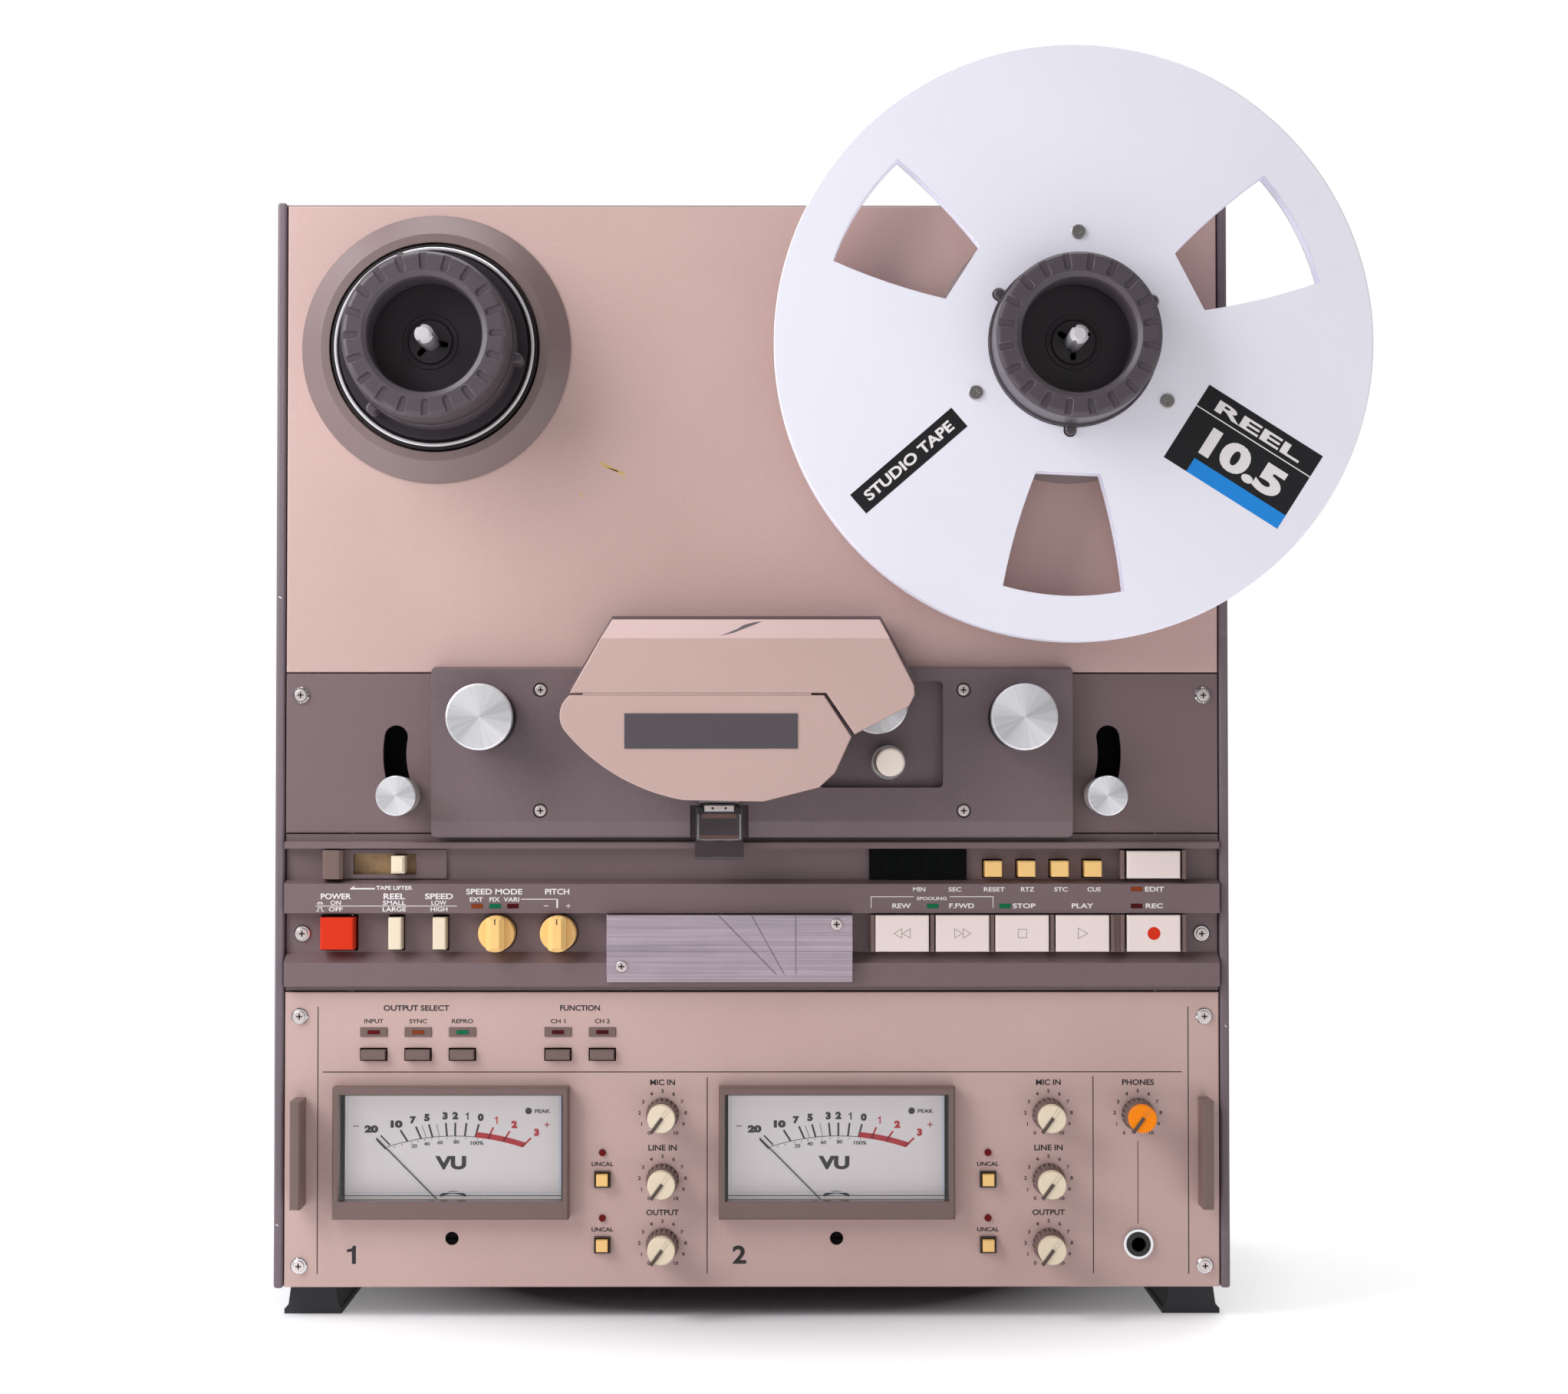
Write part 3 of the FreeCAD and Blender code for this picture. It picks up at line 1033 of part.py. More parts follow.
def hub_adapter(side, label, turn):
    """Reel hub adapter: flange, core, twist ring with a ribbed face, three lugs and a centre boss."""
    core = turned(label + "_core", [
        ("spindle_radius + shaft_clearance", "adapter_back"), ("adapter_flange_radius", "adapter_back"),
        ("adapter_flange_radius", "adapter_back + adapter_flange"),
        ("adapter_body_radius", "adapter_back + adapter_flange"), ("adapter_body_radius", "ring_back - 0.4"),
        ("recess_radius + 1.4", "ring_back - 0.4"), ("recess_radius", "recess_floor"),
        ("hub_boss_radius + 2.2", "recess_floor"), ("hub_boss_radius + 2.2", "recess_floor + 0.7"),
        ("hub_boss_radius + 0.8", "recess_floor + 0.7"), ("hub_boss_radius + 0.8", "recess_floor"),
        ("hub_boss_radius", "recess_floor"), ("hub_boss_radius - 0.4", "recess_floor + 1.2"),
        ("spindle_radius + shaft_clearance", "recess_floor + 1.2")])
    keyhole = pocketed(core, [
        ("spindle_radius - 0.6", "-1.3"), ("spindle_radius + 2.6", "-1.3"),
        ("spindle_radius + 2.6", "1.3", ("spindle_radius + 3.9", "0")), ("spindle_radius - 0.6", "1.3")],
        "recess_floor + 3", label + "_keyhole")
    around(core, keyhole, 3)
    place(core, "%d * hub_x" % side, "hub_z", "0", spin(turn))
    ring = turned(label + "_ring", [
        ("recess_radius + 1.6", "ring_back"), ("ring_radius + 0.5", "ring_back"),
        ("ring_radius", "ring_front - 1.6"), ("ring_radius - 1.2", "ring_front - 0.3"),
        ("ring_radius - 2.4", "ring_front"), ("recess_radius + 2.6", "ring_front"),
        ("recess_radius + 0.6", "ring_front - 1.2"), ("recess_radius", "ring_front - 3"),
        ("recess_radius", "ring_back + 1")])
    half = "rib_width / 2"
    rib = pocketed(ring, [
        ("ring_radius + 2", "-" + half), ("ring_radius + 2", half), ("rib_inner + rib_width / 2", half),
        ("rib_inner + rib_width / 2", "-" + half, ("rib_inner", "0"))],
        "rib_depth + 1", label + "_rib", "ring_front - rib_depth")
    around(ring, rib, dim("rib_count"))
    place(ring, "%d * hub_x" % side, "hub_z", "0", spin(turn))
    pieces = [core, ring]
    for index in range(3):
        name = "%s_lug_%d" % (label, index)
        lug = padded(name, lug_outline("adapter_body_radius - 0.2"),
                     "lug_front - adapter_back - adapter_flange - 0.2")
        dress(lug, name + "_soft", 1.0,
              top_edge(amount("lug_front - adapter_back - adapter_flange - 0.2")))
        place(lug, "%d * hub_x" % side, "hub_z", "adapter_back + adapter_flange + 0.2",
              spin(turn + 120 * index))
        pieces.append(lug)
    return node(group(label + "_pieces", pieces), label)


def cross_screw(name, x, z, radius, seat, head="1.3"):
    """A pan-head screw with a cross recess, seated on a surface."""
    top = "( %s ) + ( %s )" % (seat, head)
    shank = rod(name + "_shank", x, z, "screw_shank", "( %s ) - 3.2" % seat, "( %s ) + 0.2" % seat)
    cap = rod(name + "_cap", x, z, radius, seat, top)
    soft = soften_front(name + "_cap_soft", cap, 0.5)
    arms = [block(name + "_arm_%d" % index, x, z, width, height, "( %s ) - 0.8" % top, "( %s ) + 1" % top)
            for index, (width, height) in enumerate((("2.6", "0.6"), ("0.6", "2.6")))]
    return cut(name, join(name + "_solid", [soft, shank]), arms)


def tape_reel():
    """A metal reel: core and two flanges, three windows, three hub slots and three screws."""
    back = "reel_back"
    front = "reel_front"
    body = turned("reel_body", [
        ("reel_bore", back), ("reel_radius - 0.4", back), ("reel_radius", "reel_back + 0.4"),
        ("reel_radius", "reel_back + flange_thickness"), ("reel_core", "reel_back + flange_thickness"),
        ("reel_core", "reel_front - flange_thickness"), ("reel_radius", "reel_front - flange_thickness"),
        ("reel_radius", "reel_front - 0.4"), ("reel_radius - 0.4", front), ("reel_bore", front)])
    half = math.radians(dim("window_half_angle"))
    inner = dim("window_inner")
    outer = dim("window_outer")
    middle = (inner + outer) / 2
    bulge = dim("window_bulge")

    def spot(radius, angle, shift=0.0):
        across = radius * math.cos(angle) - shift * math.sin(angle)
        up = radius * math.sin(angle) + shift * math.cos(angle)
        return "%.4f" % across, "%.4f" % up

    window = pocketed(body, [
        spot(inner, -half), spot(outer, -half) + (spot(middle, -half, -bulge),),
        spot(outer, half) + (spot(outer, 0),), spot(inner, half) + (spot(middle, half, bulge),)],
        "reel_front + 2", "reel_window")
    around(body, window, 3)
    slot = pocketed(body, [
        ("reel_bore - 2", "-slot_width / 2"), ("slot_reach - slot_width / 2", "-slot_width / 2"),
        ("slot_reach - slot_width / 2", "slot_width / 2", ("slot_reach", "0")),
        ("reel_bore - 2", "slot_width / 2")], "reel_front + 2", "reel_slot")
    around(body, slot, 3)
    turn = dim("reel_turn")
    place(body, "hub_x", "hub_z", "0", spin(turn))
    holes = []
    screws = []
    for index in range(3):
        x, z = polar("hub_x", "hub_z", dim("reel_screw_circle"), turn + 60 + 120 * index)
        holes.append(rod("reel_screw_hole_%d" % index, x, z, "screw_hole", "0", "40"))
        screws.append(cross_screw("reel_screw_%d" % index, x, z, "reel_screw_radius",
                                  "reel_front + 0.02", "1.1"))
    pieces = [cut("reel_drilled", body, holes)] + screws
    return node(group("reel_pieces", pieces), "tape_reel")


# ---------------------------------------------------------------- tape path

def tension_arm(side, label):
    """A lever behind the panel with its pivot shaft, post, sleeve and spun cap."""
    x = "%d * arm_pivot_x" % side
    angle = -dim("arm_rest_angle") if side > 0 else 180 + dim("arm_rest_angle")
    post_x, post_z = polar(x, "arm_pivot_z", dim("arm_length"), angle)
    hub = rod(label + "_hub", x, "arm_pivot_z", "arm_hub_radius", "lever_back - 0.4", "-4.4")
    shaft = rod(label + "_shaft", x, "arm_pivot_z", "arm_post_radius", "-26", "-4.4")
    lever = doc.addObject("Part::Box", label + "_lever")
    bind(lever, Length="arm_length", Width="arm_lever_width", Height="2.4")
    place(lever, x, "arm_pivot_z", "lever_back", spin(angle))
    offset = lever.Placement.Rotation.multVec(FreeCAD.Vector(0, -dim("arm_lever_width") / 2, 0))
    lever.setExpression("Placement.Base.x", formula("origin_x + %s + %.4f" % (x, offset.x)))
    lever.setExpression("Placement.Base.z", formula("arm_pivot_z + %.4f" % offset.z))
    post = rod(label + "_post", post_x, post_z, "arm_post_radius", "lever_back", "arm_cap_back + 1")
    frame = join(label + "_frame", [hub, shaft, lever, post])
    sleeve = tube(label + "_sleeve", post_x, post_z, "arm_sleeve_radius", "arm_post_radius + 0.05",
                  "2.5", "arm_cap_back - 0.6")
    flange = tube(label + "_flange", post_x, post_z, "8", "arm_sleeve_radius + 0.02", "3", "5")
    cap = turned(label + "_cap", [
        ("0", "arm_cap_back + 1"), ("arm_post_radius + 0.05", "arm_cap_back + 1"),
        ("arm_post_radius + 0.05", "arm_cap_back"), ("arm_cap_radius", "arm_cap_back"),
        ("arm_cap_radius", "arm_cap_front - 0.5"), ("arm_cap_radius - 0.5", "arm_cap_front"),
        ("0", "arm_cap_front")])
    place(cap, post_x, post_z)
    return node(group(label + "_pieces", [frame, sleeve, flange, cap]), label)


def guide_roller(side, label):
    """A large flanged guide roller on its shaft, with a spun aluminium cap."""
    body = turned(label + "_body", [
        ("0", "roller_back"), ("roller_radius - 0.5", "roller_back"),
        ("roller_radius - 0.5", "roller_back + 3"), ("roller_body_radius", "roller_back + 4"),
        ("roller_body_radius", "roller_front - 5.2"), ("0", "roller_front - 5.2")])
    place(body, "%d * roller_x" % side, "roller_z")
    shaft = rod(label + "_shaft", "%d * roller_x" % side, "roller_z", "3", "-24", "roller_back")
    cap = turned(label + "_cap", [
        ("0", "roller_front - 5.2"), ("roller_radius", "roller_front - 5.2"),
        ("roller_radius", "roller_front - 0.7"), ("roller_radius - 0.3", "roller_front - 0.2"),
        ("roller_radius - 0.8", "roller_front"), ("0", "roller_front")])
    place(cap, "%d * roller_x" % side, "roller_z")
    return node(group(label + "_pieces", [shaft, body, cap]), label)


def capstan():
    """The capstan shaft with its flywheel behind and a pale dust cap in front."""
    shaft = turned("capstan_shaft", [
        ("0", "-flywheel_back - 6"), ("capstan_radius", "-flywheel_back - 6"),
        ("capstan_radius", "-flywheel_back"), ("flywheel_radius", "-flywheel_back"),
        ("flywheel_radius", "flywheel_thickness - flywheel_back"),
        ("capstan_radius", "flywheel_thickness - flywheel_back"),
        ("capstan_radius", "capstan_front - 6.2"), ("0", "capstan_front - 6.2")])
    place(shaft, "capstan_x", "capstan_z")
    cap = turned("capstan_cap", [
        ("0", "capstan_front - 6.2"), ("capstan_cap_radius - 0.2", "capstan_front - 6.2"),
        ("capstan_cap_radius", "capstan_front - 0.8"), ("capstan_cap_radius - 0.7", "capstan_front"),
        ("0", "capstan_front")])
    place(cap, "capstan_x", "capstan_z")
    return node(group("capstan_pieces", [shaft, cap]), "capstan")


def pinch_roller():
    """The pinch lever on its pivot shaft with a rubber tyre and an aluminium cap."""
    reach_x = dim("pinch_x") - dim("pinch_pivot_x")
    reach_z = dim("pinch_z") - dim("pinch_pivot_z")
    angle = math.degrees(math.atan2(reach_z, reach_x))
    pivot_hub = rod("pinch_hub", "pinch_pivot_x", "pinch_pivot_z", "pinch_hub_radius", "8.6", "12.6")
    shaft = rod("pinch_shaft", "pinch_pivot_x", "pinch_pivot_z", "pinch_pin_radius", "-14", "12.6")
    lever = doc.addObject("Part::Box", "pinch_lever")
    bind(lever, Length=str(round(math.hypot(reach_x, reach_z), 4)), Width="pinch_lever_width", Height="3")
    place(lever, "pinch_pivot_x", "pinch_pivot_z", "pinch_lever_back", spin(angle))
    offset = lever.Placement.Rotation.multVec(FreeCAD.Vector(0, -dim("pinch_lever_width") / 2, 0))
    lever.setExpression("Placement.Base.x", formula("origin_x + pinch_pivot_x + %.4f" % offset.x))
    lever.setExpression("Placement.Base.z", formula("pinch_pivot_z + %.4f" % offset.z))
    pin = rod("pinch_pin", "pinch_x", "pinch_z", "pinch_pin_radius", "pinch_lever_back", "pinch_front - 3.6")
    frame = join("pinch_frame", [pivot_hub, shaft, lever, pin])
    tyre = tube("pinch_tyre", "pinch_x", "pinch_z", "pinch_radius - 0.5", "pinch_pin_radius + 0.05",
                "pinch_back", "pinch_front - 3.6")
    cap = turned("pinch_cap", [
        ("0", "pinch_front - 3.6"), ("pinch_radius", "pinch_front - 3.6"),
        ("pinch_radius", "pinch_front - 0.5"), ("pinch_radius - 0.5", "pinch_front"), ("0", "pinch_front")])
    place(cap, "pinch_x", "pinch_z")
    return node(group("pinch_pieces", [frame, tyre, cap]), "pinch_roller")


# ---------------------------------------------------------------- keys, buttons and knobs

def key(label, x, z, width, height, front, bevel=0.6, back="-9"):
    """A key cap with eased front edges and a plunger that reaches back to its switch."""
    cap = soften_front(label + "_cap", block(label + "_face", x, z, width, height, back, front), bevel)
    stem = block(label + "_stem", x, z, "3.2", "2.6", "( %s ) - 7" % back, "( %s ) + 1" % back)
    return node(join(label + "_solid", [cap, stem]), label)


def transport_keys():
    for name, x in zip(KEY_NAMES, KEY_PITCH):
        key(name, x, "key_middle", "key_width", "key_height - 0.4", "key_front", 0.7)
    key("edit_key", KEY_PITCH[4], "counter_middle", "key_width", "edit_height - 0.6", "key_front", 0.7)
    for name, x in zip(COUNTER_NAMES, COUNTER_X):
        key(name, x, "counter_button_z", "counter_button_width", "counter_button_height", "5.4", 0.7)
    key("power_button", "-186.2", "key_middle", "14.9", "14.4", "7", 0.8)
    key("reel_size_button", "-160.3", "key_middle", "5.9", "14.4", "6", 0.7)
    key("speed_button", "-140.4", "key_middle", "5.9", "14.4", "6", 0.7)


def select_buttons():
    for name, x in zip(SELECT_NAMES, SELECT_X):
        key(name, x, "select_button_z", "select_button_width", "select_button_height",
            "select_front", 0.5, "-6")
    for name, (x, z) in zip(UNCAL_NAMES, UNCAL_PLACES):
        key(name, x, z, "uncal_size - 2.2", "uncal_size - 2.2", "uncal_front", 0.4, "-6")


def lifter_slider():
    """The sliding carrier seen through its slot, with a bevelled finger block."""
    carrier = bar("lifter_carrier", "lifter_slot_left - 1", "lifter_slot_right + 1 + lifter_travel",
                  "lifter_slot_low - 1", "lifter_slot_high + 1", "-7.6", "-6.4")
    finger = block("lifter_finger", "lifter_knob_x", "counter_middle", "lifter_knob_width",
                   "lifter_knob_height", "-7", "5.2")
    soft = soften_front("lifter_finger_soft", finger, 1.0, bevel=True)
    return node(join("lifter_pieces", [carrier, soft]), "lifter_slider")


def ridge_knob(label):
    """A round switch knob with a bevelled grip bar across its face."""
    x = label + "_x"
    disc = turned(label + "_disc", [
        ("0", "-4.2"), ("mode_knob_radius", "-4.2"), ("mode_knob_radius", "mode_knob_front - 6.4"),
        ("mode_knob_radius - 0.6", "mode_knob_front - 5.8"), ("0", "mode_knob_front - 5.8")])
    place(disc, x, "key_middle")
    grip = block(label + "_grip", x, "key_middle", "8.2", "2 * mode_knob_radius + 1",
                 "mode_knob_front - 7", "mode_knob_front")
    soft = soften_front(label + "_grip_soft", grip, 2.2, bevel=True)
    limit = rod(label + "_limit", x, "key_middle", "mode_knob_radius", "-5", "mode_knob_front + 1")
    common = doc.addObject("Part::Common", label + "_ridge")
    common.Base = soft
    common.Tool = limit
    shaft = rod(label + "_shaft", x, "key_middle", "3", "-18", "-4")
    index = block(label + "_index", x, "key_middle + mode_knob_radius - 2.6", "0.5", "2.6",
                  "mode_knob_front - 0.3", "mode_knob_front + 2")
    solid = cut(label + "_solid", join(label + "_blank", [disc, common, shaft]), [index])
    return node(solid, label)


def level_knob(label, x, z):
    """A fluted skirt with a pale cap and a dark pointer that runs over the cap's edge."""
    skirt = turned(label + "_skirt", [
        ("0", "-16"), ("3", "-16"), ("3", "0.8"), ("level_skirt_radius", "0.8"),
        ("level_skirt_radius - 0.5", "level_collar"), ("level_cap_radius + 0.2", "level_collar + 2.4"),
        ("0", "level_collar + 2.4")])
    flute = pocketed(skirt, [
        ("level_skirt_radius - 0.75", "-0.45"), ("level_skirt_radius + 1", "-0.9"),
        ("level_skirt_radius + 1", "0.9"), ("level_skirt_radius - 0.75", "0.45")],
        "level_collar - 1", label + "_flute", "2")
    around(skirt, flute, 20)
    place(skirt, x, z, "0", spin(-126))
    cap = turned(label + "_cap", [
        ("0", "level_collar + 2.4"), ("level_cap_radius", "level_collar + 2.4"),
        ("level_cap_radius", "level_front - 0.4"), ("level_cap_radius - 0.3", "level_front"),
        ("0", "level_front")])
    pocketed(cap, [
        ("-0.6", "-0.75"), ("level_cap_radius + 1", "-0.75"), ("level_cap_radius + 1", "0.75"),
        ("-0.6", "0.75")], "3", label + "_channel", "level_front - 1.2")
    place(cap, x, z, "0", spin(-126))
    pointer = padded(label + "_pointer", [
        ("-0.6", "-0.75"), ("level_skirt_radius + 0.3", "-0.75"), ("level_skirt_radius + 0.3", "0.75"),
        ("-0.6", "0.75")], "1.7")
    place(pointer, x, z, "level_front - 1.2", spin(-126))
    return node(group(label + "_pieces", [skirt, cap, pointer]), label)


# ---------------------------------------------------------------- inside the cabinet

def transport_frame():
    """The steel mounting plate behind the transport, with a bearing bore for every shaft."""
    plate = bar("frame_plate", "-frame_half_width", "frame_half_width", "frame_low", "frame_high",
                "-frame_depth", "frame_thickness - frame_depth")
    tools = []
    for side in (-1, 1):
        tools.append(rod("frame_hub_%d" % side, "%d * hub_x" % side, "hub_z",
                         "motor_shaft_radius + shaft_clearance", "-20", "0"))
        tools.append(rod("frame_arm_%d" % side, "%d * arm_pivot_x" % side, "arm_pivot_z",
                         "3 + shaft_clearance", "-20", "0"))
        tools.append(rod("frame_roller_%d" % side, "%d * roller_x" % side, "roller_z",
                         "3 + shaft_clearance", "-20", "0"))
    tools.append(rod("frame_capstan", "capstan_x", "capstan_z", "capstan_radius + shaft_clearance",
                     "-20", "0"))
    tools.append(rod("frame_pinch", "pinch_pivot_x", "pinch_pivot_z", "3 + shaft_clearance", "-20", "0"))
    pieces = [cut("frame_plate_cut", plate, tools)]
    for side in (-1, 1):
        x = "%d * ( frame_half_width - 4 )" % side
        for name, low in (("low", "frame_low + 6"), ("high", "frame_high - 24")):
            pieces.append(bar("frame_strut_%s_%d" % (name, side), x + " - 4", x + " + 4", low,
                              low + " + 12", "frame_thickness - frame_depth", "-panel_sheet - 0.02"))
    pieces.append(tube("capstan_bearing", "capstan_x", "capstan_z", "9",
                       "capstan_radius + shaft_clearance", "-62", "-frame_depth"))
    return pieces


def drive_motors():
    """The mounting frame with two reel motors, the capstan stator, the solenoid and their flanges."""
    pieces = transport_frame()
    for side in (-1, 1):
        name = "reel_motor_%d" % side
        x = "%d * hub_x" % side
        flange = block(name + "_flange", x, "hub_z", "80", "80", "-motor_front - 3", "-frame_depth - 0.02")
        can = rod(name + "_can", x, "hub_z", "motor_radius", "-motor_back", "-motor_front - 2")
        bore = rod(name + "_bore", x, "hub_z", "motor_shaft_radius + shaft_clearance", "-90", "0")
        pieces.append(cut(name, join(name + "_body", [flange, can]), [bore]))
    pieces.append(tube("capstan_stator", "capstan_x", "capstan_z", "34",
                       "capstan_radius + 2", "-flywheel_back - 14", "-flywheel_back - 8"))
    pieces.append(block("capstan_bracket", "capstan_x", "capstan_z", "90", "70",
                        "-flywheel_back - 17", "-flywheel_back - 14.02"))
    for side in (-1, 1):
        x = "capstan_x + %d * 40" % side
        pieces.append(block("capstan_leg_%d" % side, x, "capstan_z", "6", "20",
                            "-flywheel_back - 14", "-frame_depth - 0.02"))
    pieces.append(block("pinch_solenoid", "-40", "300", "34", "26", "-50", "-frame_depth - 0.02"))
    return node(group("motor_pieces", pieces), "drive_motors")


def circuit_boards():
    """Control, amplifier and power boards with the transformer and their larger components."""
    pieces = []
    for name, left, right, low, high in (("control_board", "-180", "196", "152", "211"),
                                         ("amplifier_board", "-190", "195", "24", "142"),
                                         ("power_board", "-150", "150", "20", "140")):
        back = name + "_back"
        pieces.append(bar(name, left, right, low, high, back, back + " + board_sheet"))
    core = block("transformer_core", "-130", "56", "80", "66", "-130", "-75")
    winding = block("transformer_winding", "-130", "56", "50", "78", "-138", "-67")
    pieces.append(join("transformer", [core, winding]))
    for index in range(6):
        x = "%d" % (-60 + 34 * index)
        pieces.append(rod("capacitor_%d" % index, x, "70", "9", "-148.4", "-116"))
        pieces.append(block("relay_%d" % index, x, "110", "24", "14", "-148.4", "-130"))
    for index in range(10):
        x = "%d" % (-170 + 38 * index)
        pieces.append(block("chip_%d" % index, x, "120", "18", "7", "-50", "-46.6"))
    for index in range(6):
        x = "%d" % (-10 + 34 * index)
        pieces.append(block("switch_%d" % index, x, "200", "9", "6", "-25", "-21"))
    for name, (x, z) in zip(LEVEL_NAMES, LEVEL_PLACES):
        pieces.append(tube(name + "_pot", x, z, "8.5", "3 + shaft_clearance", "-14", "-3.02"))
    for name in ("mode_knob", "pitch_knob"):
        pieces.append(tube(name + "_pot", name + "_x", "key_middle", "8", "3 + shaft_clearance",
                           "-16", "-6.02"))
    for side in (-1, 1):
        x = "%d * 150" % side
        pieces.append(bar("board_post_%d" % side, x + " - 4", x + " + 4", "15.2", "19.9", "-150", "-45"))
    return node(group("board_pieces", pieces), "circuit_boards")


def cup_screw(name, x, z, seat="0"):
    """A pan-head screw sitting in a cup washer."""
    cup = turned(name + "_cup", [
        ("panel_screw_radius", "0.02"), ("panel_washer_radius", "0.02"),
        ("panel_washer_radius", "0.6"), ("panel_washer_radius - 0.5", "1.1"),
        ("panel_screw_radius", "1.1")])
    place(cup, x, z, seat)
    return [cup, cross_screw(name, x, z, "panel_screw_radius - 0.05", seat + " + 0.02", "1.9")]


def fasteners():
    """All fixed screws of the front: transport, control, amplifier, base plate and splicing block."""
    pieces = []
    for side in (-1, 1):
        x = "%d * panel_screw_x" % side
        pieces += cup_screw("transport_screw_%d" % side, x, "transport_screw_z")
        pieces += cup_screw("amplifier_screw_high_%d" % side, x, "amplifier_screw_high")
        pieces += cup_screw("amplifier_screw_low_%d" % side, x, "amplifier_screw_low")
        pieces += cup_screw("control_screw_%d" % side, "%d * control_screw_x" % side,
                            "control_screw_z", "channel_floor")
        for level in ("plate_screw_low", "plate_screw_high"):
            pieces.append(cross_screw("head_%s_%d" % (level, side), "%d * plate_screw_x" % side,
                                      level, "plate_screw_radius", "6.42", "1.4"))
    for index, (x, z) in enumerate(BLOCK_SCREWS):
        pieces.append(cross_screw("block_screw_%d" % index, x, z, "2.5", "block_front - 0.2", "1"))
    for side in (-1, 1):
        for level in ("40", "260", "480"):
            pieces.append(rod("rear_screw_%d_%s" % (side, level), "%d * rear_screw_x" % side, level,
                              "rear_screw_radius", "rear_inset - cabinet_depth - 2",
                              "rear_inset - cabinet_depth - 0.02"))
    return node(group("fastener_pieces", pieces), "fasteners")


# ---------------------------------------------------------------- the whole machine

def build_machine():
    cabinet_shell()
    rear_panel()
    skid_feet()
    deck_panel()
    transport_panel()
    head_block()
    head_cover()
    head_cover_door()
    head_shield()
    control_panel()
    amplifier_panel()
    vu_meters()
    meter_needle(1, "meter_one")
    meter_needle(2, "meter_two")
    turntable(-1, "supply_turntable")
    turntable(1, "takeup_turntable")
    hub_adapter(-1, "supply_hub_adapter", 109)
    hub_adapter(1, "takeup_hub_adapter", dim("reel_turn"))
    tape_reel()
    tension_arm(-1, "supply_tension_arm")
    tension_arm(1, "takeup_tension_arm")
    guide_roller(-1, "supply_guide_roller")
    guide_roller(1, "takeup_guide_roller")
    capstan()
    pinch_roller()
    transport_keys()
    select_buttons()
    lifter_slider()
    ridge_knob("mode_knob")
    ridge_knob("pitch_knob")
    for name, (x, z) in zip(LEVEL_NAMES, LEVEL_PLACES):
        level_knob(name, x, z)
    drive_motors()
    circuit_boards()
    fasteners()


def check_and_export():
    """Stop on any failed object or bad shape, then write one STEP file per node."""
    doc.recompute()
    failed = [item.Name for item in doc.Objects if "Invalid" in item.State or "Error" in item.State]
    failed += [item.Label for item in NODES if item.Shape.isNull() or not item.Shape.isValid()]
    if failed:
        raise RuntimeError("these failed: %s" % ", ".join(failed))
    os.makedirs("parts", exist_ok=True)
    for item in NODES:
        item.Shape.exportStep("parts/%s.step" % item.Label)


build_machine()
check_and_export()
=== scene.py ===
import functools
import math

import bpy
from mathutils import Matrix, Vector


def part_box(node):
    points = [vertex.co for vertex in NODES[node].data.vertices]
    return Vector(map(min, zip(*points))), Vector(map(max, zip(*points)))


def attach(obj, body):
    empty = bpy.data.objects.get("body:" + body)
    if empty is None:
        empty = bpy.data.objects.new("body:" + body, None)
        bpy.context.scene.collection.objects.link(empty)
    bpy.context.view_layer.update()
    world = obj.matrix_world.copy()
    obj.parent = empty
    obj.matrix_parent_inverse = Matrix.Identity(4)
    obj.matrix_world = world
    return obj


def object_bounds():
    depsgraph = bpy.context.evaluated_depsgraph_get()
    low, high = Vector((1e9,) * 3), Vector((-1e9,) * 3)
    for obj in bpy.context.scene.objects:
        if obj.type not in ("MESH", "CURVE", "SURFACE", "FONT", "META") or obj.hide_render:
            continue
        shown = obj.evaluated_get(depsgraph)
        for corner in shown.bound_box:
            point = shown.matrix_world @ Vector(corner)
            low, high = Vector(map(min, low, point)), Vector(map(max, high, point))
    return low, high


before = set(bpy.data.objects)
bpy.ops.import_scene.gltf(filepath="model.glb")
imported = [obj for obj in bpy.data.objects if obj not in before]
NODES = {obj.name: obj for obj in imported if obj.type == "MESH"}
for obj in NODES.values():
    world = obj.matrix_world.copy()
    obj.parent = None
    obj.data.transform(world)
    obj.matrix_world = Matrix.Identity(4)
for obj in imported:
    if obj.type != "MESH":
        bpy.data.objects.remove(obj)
cad_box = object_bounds()

# ---- places
# Three measures in millimetres are used everywhere: across from the cabinet's centre line, up from
# the floor, and proud of the face of the front panels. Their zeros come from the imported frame.

MM = 0.001
panel_low, panel_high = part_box("transport_panel")
CENTRE_X = (panel_low.x + panel_high.x) / 2
FACE_Y = panel_low.y
FLOOR_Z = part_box("feet")[0].z


def spot(across, up, proud):
    """A point of the front, in metres."""
    return Vector((CENTRE_X + across * MM, FACE_Y - proud * MM, FLOOR_Z + up * MM))


def measures(point):
    """The three measures of a point given in metres."""
    return (point.x - CENTRE_X) / MM, (point.z - FLOOR_Z) / MM, (FACE_Y - point.y) / MM


def node_box(name):
    """A node's (left, low, back) and (right, high, front) measures."""
    low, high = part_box(name)
    left, bottom, front = measures(low)
    right, top, back = measures(high)
    return (left, bottom, back), (right, top, front)


def direction(degrees):
    """The across and up parts of a direction, counterclockwise from the right."""
    return math.cos(math.radians(degrees)), math.sin(math.radians(degrees))


def placed(name, data):
    """An object made of the given data, added to the scene."""
    holder = bpy.data.objects.new(name, data)
    bpy.context.scene.collection.objects.link(holder)
    return holder


def node_middle(name):
    """Across and up of the middle of a node."""
    low, high = node_box(name)
    return (low[0] + high[0]) / 2, (low[1] + high[1]) / 2


# ---- finishes

